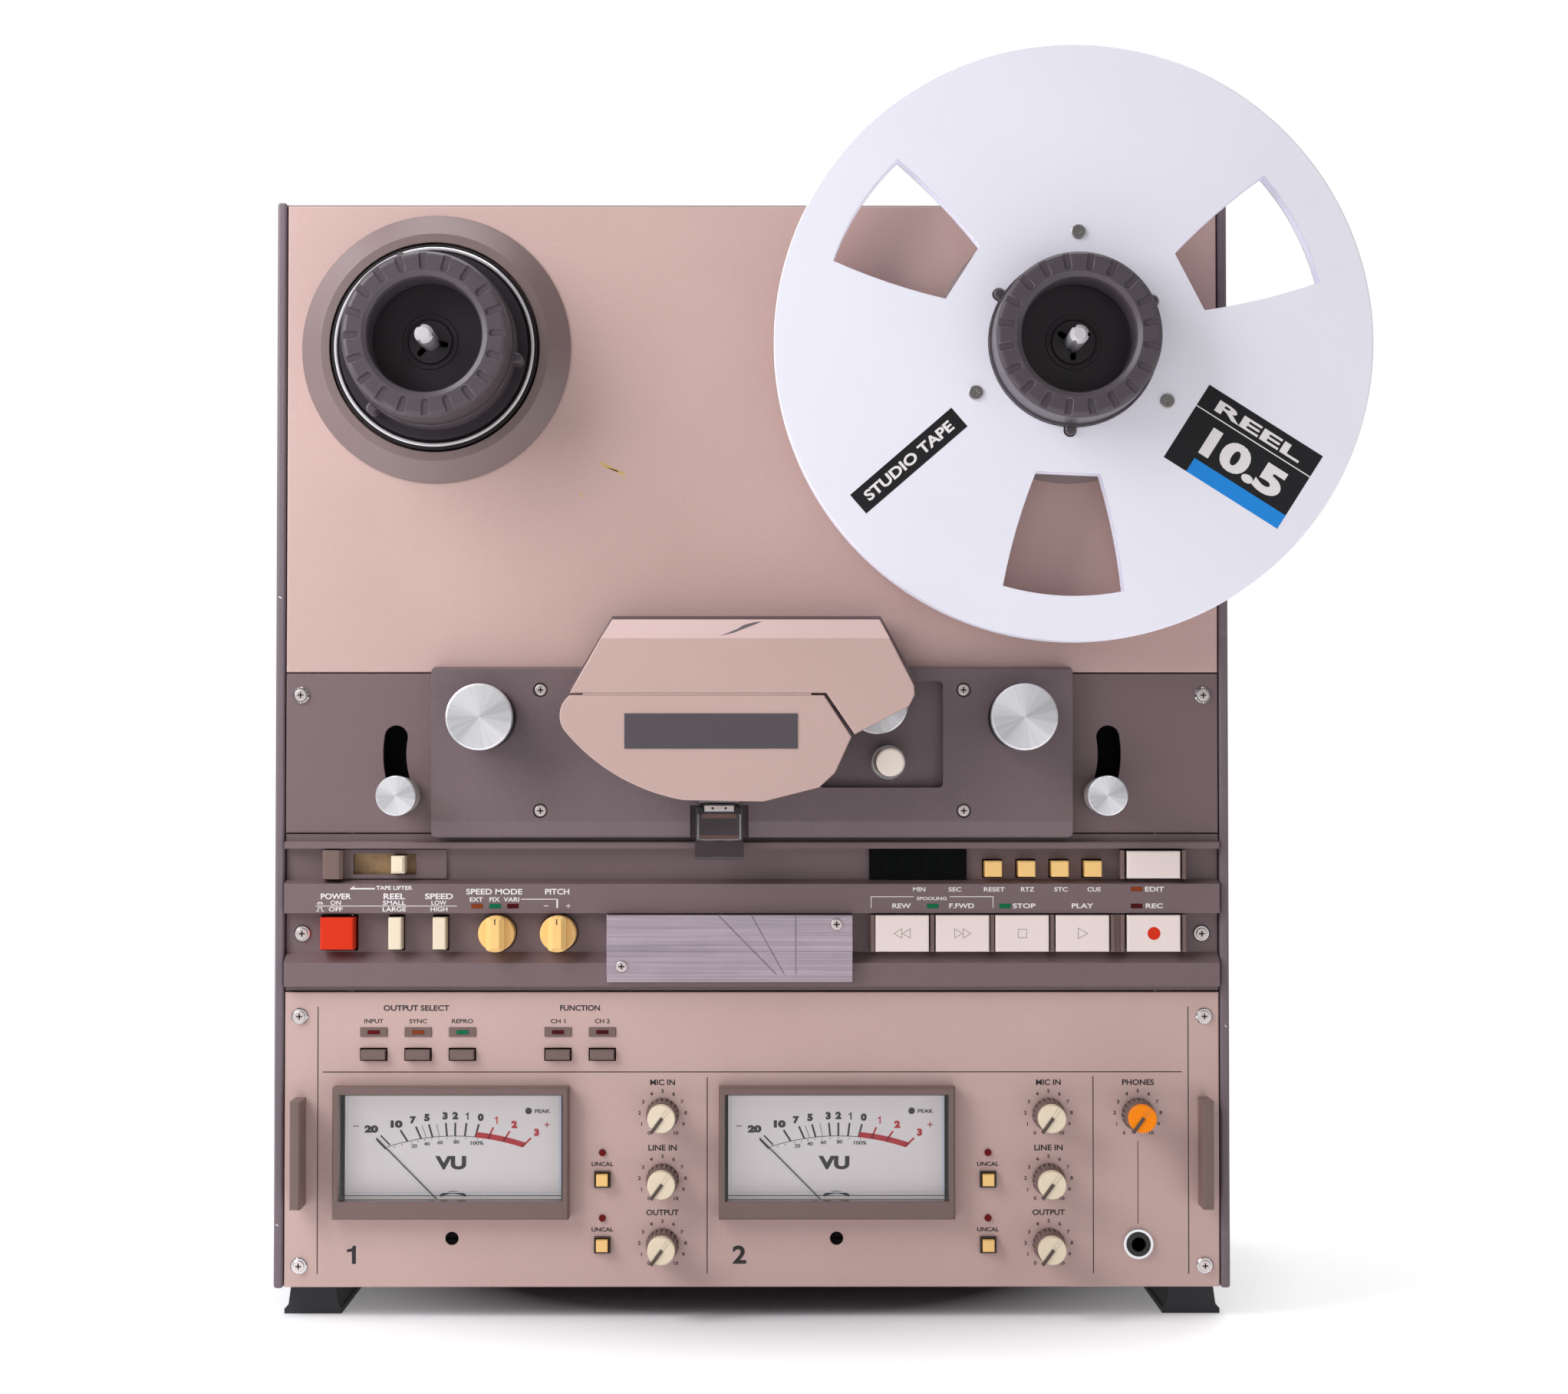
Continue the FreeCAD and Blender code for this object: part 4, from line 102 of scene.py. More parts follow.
def tone(colour):
    """A colour as the eye sees it, in hexadecimal, turned to linear light."""
    return [(level / 255 / 12.92) if level < 11 else ((level / 255 + 0.055) / 1.055) ** 2.4
            for level in bytes.fromhex(colour)]


def feed(tree, node, **inputs):
    """Set a shader node's inputs, by name or by _number, to numbers, colours or other nodes' outputs."""
    for name, value in inputs.items():
        socket = node.inputs[int(name[1:]) if name[0] == "_" else name.replace("_", " ")]
        if isinstance(value, bpy.types.NodeSocket):
            tree.links.new(value, socket)
        else:
            socket.default_value = value
    return node


def step(tree, kind, setup=None, **inputs):
    """Add a shader node with its settings and inputs."""
    made = tree.nodes.new("ShaderNode" + kind)
    for name, value in (setup or {}).items():
        setattr(made, name, value)
    return feed(tree, made, **inputs)


def calc(tree, operation, first, second=0.0):
    return step(tree, "Math", {"operation": operation}, _0=first, _1=second).outputs[0]


def vector_calc(tree, operation, first, **inputs):
    """A vector operation; its outputs are the vector and the number."""
    return step(tree, "VectorMath", {"operation": operation}, _0=first, **inputs).outputs


def ramp(tree, value, start, end, top=1.0, bottom=0.0, kind="LINEAR"):
    """A value carried from start and end to bottom and top, and held there beyond them."""
    return step(tree, "MapRange", {"interpolation_type": kind}, Value=value, From_Min=start, From_Max=end,
                To_Min=bottom, To_Max=top).outputs[0]


def blank(name):
    """A new material, its node tree, its main surface shader and the place of the point being shaded."""
    material = bpy.data.materials.new(name)
    material.use_nodes = True
    tree = material.node_tree
    return material, tree, tree.nodes["Principled BSDF"], step(tree, "TexCoord").outputs["Object"]


def noise(tree, where, scale, detail=2.0):
    return step(tree, "TexNoise", Vector=where, Scale=scale, Detail=detail, Roughness=0.55).outputs[0]


def swung(tree, level, *swings):
    """A level with 0 to 1 noises added to it as swings about zero, each given with its strength."""
    for value, strength in swings:
        swing = calc(tree, "MULTIPLY", calc(tree, "SUBTRACT", value, 0.5), 2 * strength)
        level = calc(tree, "ADD", level, swing)
    return level


def mixed(tree, share, first, second):
    """Two colours mixed by a share."""
    first, second = (value if isinstance(value, bpy.types.NodeSocket) else list(value) + [1.0]
                     for value in (first, second))
    return step(tree, "Mix", {"data_type": "RGBA"}, Factor=share, _6=first, _7=second).outputs[2]


def softened(tree, radius):
    """The surface direction with its edges rounded by a radius in millimetres."""
    return step(tree, "Bevel", {"samples": 3}, Radius=radius * MM).outputs[0]


def hairlines(tree, where, angle, scale, keep):
    """Sparse fine scratches lying at an angle on the front."""
    turned = step(tree, "Mapping", Vector=where, Rotation=(0, math.radians(angle), 0),
                  Scale=(scale * 0.012, scale * 0.2, scale))
    return ramp(tree, noise(tree, turned.outputs[0], 1.0, 1.0), keep, keep + 0.06)


def paint(name, colour, rough=0.5, other=None, drift=0.3, grain=0.05, grain_size=0.5, pits=0.04,
          edge_wear_and_light=None, edge_wear_and_light_share=0.5, soft=0.5, metal=0.0, scratches=0.0, glow=0.0, spread=14.0, shine=0.5):
    """A moulded or painted finish: broad drift between two tones, fine grain, pits, and edges in a second
    tone that is partly wear and partly painted light: a painted highlight where that tone is paler, painted
    shade where it is darker.
    """
    material, tree, surface, where = blank(name)
    base = tone(colour)
    other = tone(other) if other else [level * 0.86 for level in base]
    broad = noise(tree, where, spread, 4.0)
    fine = noise(tree, where, 1000.0 / grain_size)
    shade = mixed(tree, ramp(tree, broad, 0.3, 0.75, drift), base, other)
    level = swung(tree, 1.0, (fine, grain))
    rounded = softened(tree, soft)
    # The rounded edges take the second tone: wear together with a painted highlight along the edges, or
    # painted shade where the tone is darker.
    if edge_wear_and_light:
        flat = step(tree, "NewGeometry").outputs["Normal"]
        edge = ramp(tree, vector_calc(tree, "DOT_PRODUCT", rounded, _1=flat)["Value"], 0.985, 0.86)
        patchy = ramp(tree, noise(tree, where, 160.0, 5.0), 0.42, 0.66)
        edge_wear_and_light_mask = calc(tree, "MULTIPLY", calc(tree, "MULTIPLY", edge, patchy), edge_wear_and_light_share)
        shade = mixed(tree, edge_wear_and_light_mask, shade, tone(edge_wear_and_light))
    if scratches:
        marks = calc(tree, "MAXIMUM", hairlines(tree, where, 28, 420.0, 0.70),
                     hairlines(tree, where, -47, 360.0, 0.71))
        level = calc(tree, "ADD", level, calc(tree, "MULTIPLY", marks, scratches))
    bump = step(tree, "Bump", Height=fine, Strength=0.6, Distance=pits * MM, Normal=rounded)
    feed(tree, surface, Base_Color=vector_calc(tree, "SCALE", shade, Scale=level)[0],
         Roughness=swung(tree, rough, (broad, 0.09)), Normal=bump.outputs[0],
         Metallic=metal, Specular_IOR_Level=shine)
    # glow is painted light: emission in the part's own colour, so that it looks more brightly lit than the
    # lamps make it.
    if glow:
        feed(tree, surface, Emission_Color=base + [1.0], Emission_Strength=glow)
    return material


def brushed(name, colour):
    """Metal with fine lines drawn across."""
    material, tree, surface, where = blank(name)
    lines = noise(tree, step(tree, "Mapping", Vector=where, Scale=(9, 900, 900)).outputs[0], 1.0, 4.0)
    level = swung(tree, 1.0, (lines, 0.5), (noise(tree, where, 40.0, 3.0), 0.16))
    bump = step(tree, "Bump", Height=lines, Strength=0.6, Distance=0.02 * MM, Normal=softened(tree, 0.3))
    feed(tree, surface, Base_Color=vector_calc(tree, "SCALE", tone(colour), Scale=level)[0],
         Roughness=swung(tree, 0.34, (lines, 0.12)), Normal=bump.outputs[0],
         Metallic=1.0)
    return material


def spun(name, across, up):
    """Aluminium turned on a lathe: fine circles about an axis, with the fan of light they make."""
    material, tree, surface, where = blank(name)
    from_axis = vector_calc(tree, "SUBTRACT", where, _1=spot(across, up, 0))[0]
    parts = step(tree, "SeparateXYZ", Vector=from_axis)
    right, high = parts.outputs[0], parts.outputs[2]
    radius = calc(tree, "SQRT", calc(tree, "ADD", calc(tree, "MULTIPLY", right, right),
                                     calc(tree, "MULTIPLY", high, high)))
    circles = noise(tree, step(tree, "CombineXYZ", X=radius).outputs[0], 2600.0, 3.0)
    angle = calc(tree, "ARCTAN2", high, right)
    # The fan and the blades paint light and dark sectors into the colour by angle about the axis. This is a
    # painted highlight that stays fixed whatever the view.
    fan = calc(tree, "SINE", calc(tree, "ADD", calc(tree, "MULTIPLY", angle, 2.0), -2.4))
    blades = noise(tree, step(tree, "CombineXYZ", X=calc(tree, "COSINE", angle),
                              Y=calc(tree, "SINE", angle)).outputs[0], 5.0, 3.0)
    level = calc(tree, "ADD", 0.84, calc(tree, "MULTIPLY", fan, 0.2))
    level = swung(tree, level, (blades, 0.22), (circles, 0.1))
    along = vector_calc(tree, "CROSS_PRODUCT", from_axis, _1=(0, 1, 0))[0]
    world = step(tree, "VectorTransform", {"vector_type": "VECTOR", "convert_from": "OBJECT",
                                           "convert_to": "WORLD"}, Vector=along)
    bump = step(tree, "Bump", Height=circles, Strength=0.4, Distance=0.01 * MM)
    feed(tree, surface, Base_Color=vector_calc(tree, "SCALE", tone("faf9fe"), Scale=level)[0],
         Tangent=vector_calc(tree, "NORMALIZE", world.outputs[0])[0], Anisotropic=0.7, Roughness=0.26,
         Metallic=0.55, Normal=bump.outputs[0])
    return material


def clear_front(name):
    """Thin clear plastic: mostly see-through, with a soft reflection that grows at a glancing angle."""
    material, tree, surface = blank(name)[:3]
    tree.nodes.remove(surface)
    through = step(tree, "BsdfTransparent", Color=(0.95, 0.955, 0.96, 1)).outputs[0]
    shine = step(tree, "BsdfGlossy", Color=(0.95, 0.95, 0.95, 1), Roughness=0.04).outputs[0]
    share = calc(tree, "MULTIPLY", step(tree, "Fresnel", IOR=1.4).outputs[0], 0.8)
    blend = step(tree, "MixShader", _0=share, _1=through, _2=shine).outputs[0]
    feed(tree, tree.nodes["Material Output"], Surface=blend)
    return material


SMOOTH = {"grain": 0.03, "pits": 0.01}
CREAM = paint("cream_panel", "cbaca6", 0.38, other="be9e98", drift=0.5, grain=0.09, pits=0.06,
              edge_wear_and_light="96807a", edge_wear_and_light_share=0.25)
COVER = paint("cream_cover", "c9aba4", 0.34, other="bc9d96", drift=0.45, grain=0.04, pits=0.03,
              edge_wear_and_light="e8d2ce", edge_wear_and_light_share=0.5)
# The cover's leaning top in a lighter copy of the cover's cream: painted light where the top light falls on
# it.
BROW_PAINTED_LIGHT = paint("cream_brow_painted_light", "dbbeba", 0.34, other="ceb0ac", drift=0.45, grain=0.04, pits=0.03,
             edge_wear_and_light="ecd8d4", edge_wear_and_light_share=0.5)
BROWN = paint("dark_brown_panel", "766265", 0.48, other="6a575a", grain=0.09, pits=0.09,
              edge_wear_and_light="a09094", edge_wear_and_light_share=0.35)
CAST = paint("textured_base_plate", "726165", 0.46, other="66565b", grain=0.16, grain_size=0.9,
             pits=0.2, edge_wear_and_light="96868a", edge_wear_and_light_share=0.4)
CABINET = paint("cabinet_brown", "74656c", 0.44, other="66585f", grain=0.12, grain_size=0.8,
                pits=0.14, edge_wear_and_light="b0a3aa", edge_wear_and_light_share=0.55, scratches=0.12)
TRIM = paint("trim_brown", "7c6665", 0.4, other="745f5e", grain=0.05, pits=0.03, shine=1.0,
             edge_wear_and_light="aa9694", edge_wear_and_light_share=0.4)
MOULDED = paint("moulded_brown", "755f5a", 0.36, other="69544f", grain=0.05, pits=0.03,
                edge_wear_and_light="9c8780", edge_wear_and_light_share=0.4)
RUBBER = paint("black_rubber", "2e2d31", 0.62, grain=0.12, pits=0.06, edge_wear_and_light="565458", edge_wear_and_light_share=0.6)
# Darker tone for a hub adapter's well floor and lower body: painted shade on the adapter's plastic.
HUB_SHADE = paint("hub_painted_shade", "2e262e", 0.34, other="241e24", grain=0.06, pits=0.02)
BLACK = paint("black_plastic", "1e1b1d", 0.35, grain=0.06, pits=0.02)
TABLE = paint("turntable_black", "1e191b", 0.5, grain=0.06, pits=0.02, shine=0.25)
# Pale, half-metal finish for the turntable's chrome ring and spindle: their brightness is a painted
# reflection.
RING_PAINTED_BRIGHT = paint("chrome_ring_painted_bright", "f0ecf0", 0.22, other="dedae0", grain=0.02, metal=0.45, soft=0.15)
CAP = paint("capstan_cap", "f0e2d6", 0.4, other="e6d6ca", **SMOOTH)
# The pale edge tone here is mostly a painted highlight outlining the ribs.
CHARCOAL = paint("charcoal_plastic", "50484e", 0.36, other="423b40", grain=0.07, pits=0.03,
                 edge_wear_and_light="c4bcc2", edge_wear_and_light_share=0.8, soft=0.35)
SHEET = paint("rear_sheet", "423e42", 0.5, other="383438", grain=0.12, grain_size=0.7, pits=0.1,
              edge_wear_and_light="969096", edge_wear_and_light_share=0.6)
HOUSING = paint("housing_brown", "42342e", 0.4, grain=0.06, edge_wear_and_light="786860", edge_wear_and_light_share=0.4)
# Dark tone for the hollows of the screw heads: painted shade.
RECESS_SHADE = paint("screw_recess_painted_shade", "3a3638", 0.35, grain=0.06, metal=0.8)
SMOKED = paint("smoked_flap", "4a3f42", 0.24, other="42373a", grain=0.05,
               edge_wear_and_light="a0969a", edge_wear_and_light_share=0.7)
# Near black for parts seen inside the machine, through slots and behind the meter dials: painted shade.
SHADE_BLACK = paint("painted_shade_black", "0c0a0c", 0.8, grain=0.02, shine=0.1)
WHITE_KEY = paint("white_key", "f0e0dc", 0.38, other="e4d2ce", **SMOOTH,
                  edge_wear_and_light="f4eae6", edge_wear_and_light_share=0.6)
IVORY = paint("ivory_plastic", "eedec4", 0.36, other="decbb0", **SMOOTH,
              edge_wear_and_light="fcf2de", edge_wear_and_light_share=0.6)
YELLOW = paint("yellow_plastic", "fcce82", 0.38, other="f2c074", **SMOOTH,
               edge_wear_and_light="fae2ac", edge_wear_and_light_share=0.6)
# The yellow carrier's back deep in its slot, painted a darker yellow mottled with dark brown: painted shade.
TROUGH_SHADE = paint("slider_back_painted_shade", "c4a070", 0.4, other="785c42", drift=1.0, grain=0.05, spread=90.0)
RED = paint("red_plastic", "d82c04", 0.5, shine=0.25, other="d03612", **SMOOTH,
            edge_wear_and_light="f06e3c", edge_wear_and_light_share=0.5)
# The orange cap's glow is painted light.
ORANGE = paint("orange_plastic", "ff8c00", 0.5, shine=0.2, other="f67c00", glow=0.04,
               edge_wear_and_light="ffba5a", edge_wear_and_light_share=0.5, **SMOOTH)
POINTER = paint("pointer_brown", "54443c", 0.4, grain=0.05)
# The reel's glow is painted light, brightening it beyond what the lamps give, most of all on its right.
SILVER = paint("silver_reel", "f6f4ff", 0.36, other="e6e4f0", drift=0.6, grain=0.08,
               grain_size=0.35, pits=0.025, metal=0.2, soft=0.25, spread=9.0, glow=0.07)
STEEL = paint("plain_steel", "b2aeae", 0.3, other="969292", grain=0.06, metal=1.0, soft=0.2)
SCREW = paint("screw_nickel", "e2d6d4", 0.3, other="cec0be", grain=0.06, metal=0.7, soft=0.2)
CHROME = paint("chrome_plate", "dedcde", 0.09, other="cdcbce", grain=0.02, pits=0.005,
               metal=1.0, soft=0.2)
GOLD = paint("gold_contact", "d6aa54", 0.25, grain=0.03, metal=1.0)
BLOCK_METAL = brushed("brushed_block", "c4b4c0")
# The dial card's glow is painted light that brightens the card beyond its lighting.
DIAL = paint("dial_card", "f8f0f0", 0.6, other="ece4e6", grain=0.03, grain_size=0.3, pits=0.01,
             glow=0.2)
# Pale glowing tone for the meter window's clear edges: a painted highlight where the acrylic edges catch the
# light.
EDGE_HIGHLIGHT = paint("clear_edge", "eceefa", 0.2, grain=0.02, glow=0.15)
GLASS = clear_front("meter_front")
WINDOW = paint("display_window", "040504", 0.3, grain=0.02, pits=0.0, shine=0.08)
PLATE = paint("name_plate", "524a50", 0.4, other="484046", grain=0.06, pits=0.02,
              edge_wear_and_light="968c92", edge_wear_and_light_share=0.4)
SHIELD = paint("shield_chrome", "70666a", 0.14, other="544c50", drift=0.9, grain=0.03, pits=0.005,
               metal=1.0, edge_wear_and_light="ece8ea", edge_wear_and_light_share=0.9, spread=70.0)
BOARD = paint("circuit_board", "225438", 0.45, grain=0.15)
CORE_IRON = paint("core_iron", "3c3a3c", 0.5, grain=0.1, metal=0.5)
# The lights of the two panels, all unlit; their faint glow is painted light.
LIGHT_TONES = {
    "red": "5c040c", "amber": "803a18", "green": "086842", "lamp": "68020a",
    "dark_red": "46040c"}
LIGHTS = {name: paint("light_" + name, colour, 0.3, grain=0.02, glow=0.08, shine=0.15)
          for name, colour in LIGHT_TONES.items()}
WHITE_INK = paint("white_ink", "ece6e6", 0.5, grain=0.05)
BLACK_INK = paint("black_ink", "221c20", 0.5, grain=0.05)
BROWN_INK = paint("brown_ink", "9e8a7e", 0.5, grain=0.05)
# The red ink's glow is painted light.
RED_INK = paint("red_ink", "de142c", 0.5, grain=0.04, glow=0.05)
BLUE_INK = paint("blue_ink", "108ae2", 0.4, grain=0.03)
STICKER = paint("sticker_black", "18181c", 0.3, grain=0.03, pits=0.0)


# ---- painting the CAD nodes

def islands(name):
    """The separate solids of a node: for each, its polygons and its corner measures."""
    mesh = NODES[name].data
    spots = {}
    lead = list(range(len(mesh.vertices)))
    key_of = [spots.setdefault(tuple(round(c * 1e6) for c in v.co), v.index) for v in mesh.vertices]

    def root(index):
        while lead[index] != index:
            lead[index] = lead[lead[index]]
            index = lead[index]
        return index

    for polygon in mesh.polygons:
        first = root(key_of[polygon.vertices[0]])
        for vertex in polygon.vertices[1:]:
            lead[root(key_of[vertex])] = first
    found = {}
    for polygon in mesh.polygons:
        found.setdefault(root(key_of[polygon.vertices[0]]), []).append(polygon.index)
    result = []
    for members in found.values():
        points = [measures(mesh.vertices[v].co) for p in members for v in mesh.polygons[p].vertices]
        low = tuple(min(point[axis] for point in points) for axis in range(3))
        high = tuple(max(point[axis] for point in points) for axis in range(3))
        result.append((members, low, high))
    return result


def finish_node(name, materials, by_island=None, by_polygon=None):
    """Give a node its finishes; each rule returns an index into the materials, or yes for the second.

    The rule for polygons comes last and leaves a polygon as it was where it returns no or none.
    """
    mesh = NODES[name].data
    mesh.materials.clear()
    for material in materials:
        mesh.materials.append(material)
    picks = [0] * len(mesh.polygons)
    if by_island:
        for members, low, high in islands(name):
            pick = int(by_island(low, high))
            for index in members:
                picks[index] = pick
    if by_polygon:
        for polygon in mesh.polygons:
            picks[polygon.index] = int(by_polygon(*measures(polygon.center)) or picks[polygon.index])
    mesh.polygons.foreach_set("material_index", picks)
    mesh.update()


def size_of(low, high):
    return tuple(high[axis] - low[axis] for axis in range(3))


def solids(name, test):
    """The low and high corners of the solids of a node that pass a test."""
    return [(low, high) for members, low, high in islands(name) if test(low, high)]


def plain_nodes():
    """Nodes with one finish throughout."""
    for names, material in (
            (("feet",), RUBBER), (("transport_panel",), BROWN),
            (("rewind_key", "fast_forward_key", "stop_key", "play_key", "record_key", "edit_key"), WHITE_KEY),
            (("counter_reset_button", "return_zero_button", "search_button", "cue_button",
              "mic_uncal_button_1", "mic_uncal_button_2", "output_uncal_button_1",
              "output_uncal_button_2"), YELLOW),
            (("reel_size_button", "speed_button"), IVORY), (("power_button",), RED),
            (("output_input_button", "output_sync_button", "output_repro_button", "function_button_1",
              "function_button_2"), MOULDED),
            (("meter_needle_1", "meter_needle_2"), BLACK)):
        for name in names:
            finish_node(name, [material])


def cabinet_nodes():
    def shell(low, high):
        return size_of(low, high)[0] < 20 and low[2] > -12 and high[2] < -5

    # Thin plates behind the face, seen through slots, take the near black: painted shade.
    finish_node("cabinet_shell", [CABINET, SHADE_BLACK], shell)
    finish_node("deck_panel", [CREAM, TRIM], lambda low, high: high[2] > 3)


def rear_node():
    """The rear sheet, its sockets, inlet, fuse and earth post."""
    def rule(low, high):
        wide, tall, deep = size_of(low, high)
        is_round = abs(wide - tall) < 0.3
        if wide > 300:
            return 0
        if is_round and (wide > 16 or (8 < wide < 9.4 and deep > 10)):
            return 2
        if is_round and 7 < wide < 8:
            return 3
        if wide < 3 or (wide < 5 and deep < 8) or (is_round and wide < 12.5 and high[1] > 100):
            return 4
        return 1

    finish_node("rear_panel", [SHEET, BLACK, STEEL, IVORY, GOLD], rule)


BROW_UP = 304.4       # the cover's face leans back above this height
SHIELD_HINGE = 216    # the shield's plate reaches above this height, its flap does not


def head_nodes():
    """Base plate with its heads and posts, covers, door and shield."""
    def block(low, high):
        wide, tall, deep = size_of(low, high)
        if wide > 200:
            return 0
        return 2 if wide > 12 and tall > 12 and deep > 15 else 1

    finish_node("head_block", [CAST, CHROME, STEEL], block)
    # Polygons of the leaning top above BROW_UP take the lighter copy of the cream: painted light.
    finish_node("head_cover", [COVER, BROWN, BROW_PAINTED_LIGHT], lambda low, high: high[2] <= 20,
                lambda x, z, proud: 2 if z > BROW_UP and proud > 20 else None)
    finish_node("head_cover_door", [COVER, PLATE], lambda low, high: low[2] > 42.1)
    finish_node("head_shield", [SHIELD, SMOKED], lambda low, high: high[1] < SHIELD_HINGE)


def is_window(low, high):
    """Whether a solid of the control strip is the counter's window."""
    return abs(size_of(low, high)[0] - 44) < 1 and high[2] < 0


def control_node():
    """Control strip, key dividers, display window, lifter bezel and splicing block."""
    def rule(low, high):
        wide = size_of(low, high)[0]
        if wide > 300:
            return 0
        if is_window(low, high):
            return 2
        if wide > 100:
            return 3 if high[2] > 8 else 0
        return 1

    finish_node("control_panel", [BROWN, MOULDED, WINDOW, BLOCK_METAL], rule)


LIGHT_ORDER = ("red", "amber", "green", "dark_red", "dark_red")    # above the buttons, left to right


def amplifier_node():
    """Pale panel, brown handles, light windows, lamps and the headphone jack."""
    chips = sorted(low[0] for low, high in solids(
        "amplifier_panel", lambda low, high: abs(high[2] - 0.8) < 0.05 and size_of(low, high)[0] < 6))
    names = list(LIGHT_TONES)
    materials = [CREAM, MOULDED, BLACK, CHROME, HOUSING] + list(LIGHTS.values())

    def rule(low, high):
        wide, tall, deep = size_of(low, high)
        if wide > 300:
            return 0
        if low[0] in chips:
            return 5 + names.index(LIGHT_ORDER[chips.index(low[0])])
        if abs(wide - tall) < 0.05:
            if wide < 3.2:
                return 5 + names.index("lamp")
            if 10 < wide < 11.5 and deep > 20:
                return 2
            if 12.5 < wide < 14:
                return 3
            if high[2] < 2:
                return 4
        return 1

    finish_node("amplifier_panel", materials, rule)


def is_bezel(low, high):
    """Whether a solid of the meters is a frame."""
    return size_of(low, high)[0] > 102 and high[2] > 7


def is_dial(low, high):
    """Whether a solid of the meters is a dial card."""
    return size_of(low, high)[2] < 1.2 and high[2] < -3


def meter_node():
    def rule(low, high):
        if is_bezel(low, high):
            return 0
        if low[2] > 5 and size_of(low, high)[2] < 2:
            return 1
        return 2 if is_dial(low, high) else 3

    # The meters' remaining parts take the near black: painted shade.
    finish_node("vu_meters", [MOULDED, GLASS, DIAL, SHADE_BLACK], rule)


# The turntable's bright ring and boss, whose brightness is a painted reflection, and the dark floor inside a
# hub adapter, which is painted shade.
RING_INNER, RING_OUTER, RING_FACE = 43.2, 45.02, 6.9
BOSS_RADIUS, BOSS_FACE = 5, 7
WELL_RADIUS, WELL_FACE, WELL_FLOOR = 26, 27, 16


def hub_nodes():
    """Turntables, hub adapters and the reel."""
    for side in ("supply", "takeup"):
        across, up = node_middle(side + "_turntable")

        def away(x, z, across=across, up=up):
            return math.hypot(x - across, z - up)

        def table(x, z, proud, away=away):
            bright = RING_INNER < away(x, z) < RING_OUTER and proud > RING_FACE
            return bright or (away(x, z) < BOSS_RADIUS and proud > BOSS_FACE)

        def adapter(x, z, proud, away=away):
            return away(x, z) < WELL_RADIUS and proud < WELL_FACE or proud < WELL_FLOOR

        finish_node(side + "_turntable", [TABLE, RING_PAINTED_BRIGHT], None, table)
        finish_node(side + "_hub_adapter", [CHARCOAL, HUB_SHADE], None, adapter)
    finish_node("tape_reel", [SILVER, STEEL], lambda low, high: size_of(low, high)[0] < 10)


# How proud the turned faces, the capstan's cap and the pinch roller's cap begin.
ROLLER_FACE, ARM_FACE, CAPSTAN_CAP, PINCH_FACE = 30.7, 29, 24.7, 23.5


def capped(name, face, materials, tyre_low, tyre_high):
    """Finish a part with a spun cap proud of a face and a roller whose width is known."""
    low, high = solids(name, lambda low, high: high[2] > face)[0]
    across, up = ((low[axis] + high[axis]) / 2 for axis in (0, 1))
    finish_node(name, materials + [spun(name + "_face", across, up)], lambda low, high:
                2 if high[2] > face else (1 if tyre_low < size_of(low, high)[0] < tyre_high else 0))


def tape_path_nodes():
    """Rollers, arms, capstan and pinch roller."""
    for side in ("supply", "takeup"):
        name = side + "_guide_roller"
        finish_node(name, [BLACK, spun(name + "_face", *node_middle(name))], None,
                    lambda x, z, proud: proud > ROLLER_FACE)
        capped(side + "_tension_arm", ARM_FACE, [STEEL, IVORY], 12, 13.2)
    finish_node("capstan", [BLACK, CAP], None, lambda x, z, proud: proud > CAPSTAN_CAP)
    capped("pinch_roller", PINCH_FACE, [STEEL, RUBBER], 24, 27)


# The channels' knobs in the order their names are made, and where their pointers turn to.
LEVEL_KNOBS = ["%s_level_knob_%d" % (kind, channel)
               for channel in (1, 2) for kind in ("mic", "line", "output")] + ["phones_level_knob"]
POINTER_ANGLE = 234.0
POINTER_HALF, POINTER_TAIL, POINTER_DEPTH = 0.76, 0.7, 1.8


def knob_nodes():
    """Level knobs with their pointers, the two front knobs with theirs, and the lifter."""
    cos, sin = direction(POINTER_ANGLE)
    for name in LEVEL_KNOBS:
        cap = ORANGE if name.startswith("phones") else IVORY
        across, up = node_middle(name)
        front = node_box(name)[1][2]

        def pointer(x, z, proud, across=across, up=up, front=front):
            along = (x - across) * cos + (z - up) * sin
            aside = (z - up) * cos - (x - across) * sin
            inside = abs(aside) < POINTER_HALF and along > -POINTER_TAIL
            return 2 if inside and proud > front - POINTER_DEPTH else None

        finish_node(name, [MOULDED, cap, POINTER], lambda low, high: low[2] >= 0, pointer)
    for name in ("mode_knob", "pitch_knob"):
        across, up = node_middle(name)
        finish_node(name, [YELLOW, POINTER], None,
                    lambda x, z, proud, across=across, up=up:
                    abs(x - across) < 0.3 and z > up + 3 and 11.6 < proud < 11.99)
    # The carrier's back behind the face takes the darkened yellow: painted shade in the slot.
    finish_node("lifter_slider", [IVORY, TROUGH_SHADE], None, lambda x, z, proud: proud < -5)


RECESS_RADIUS, RECESS_DEPTH = 1.75, 1.2


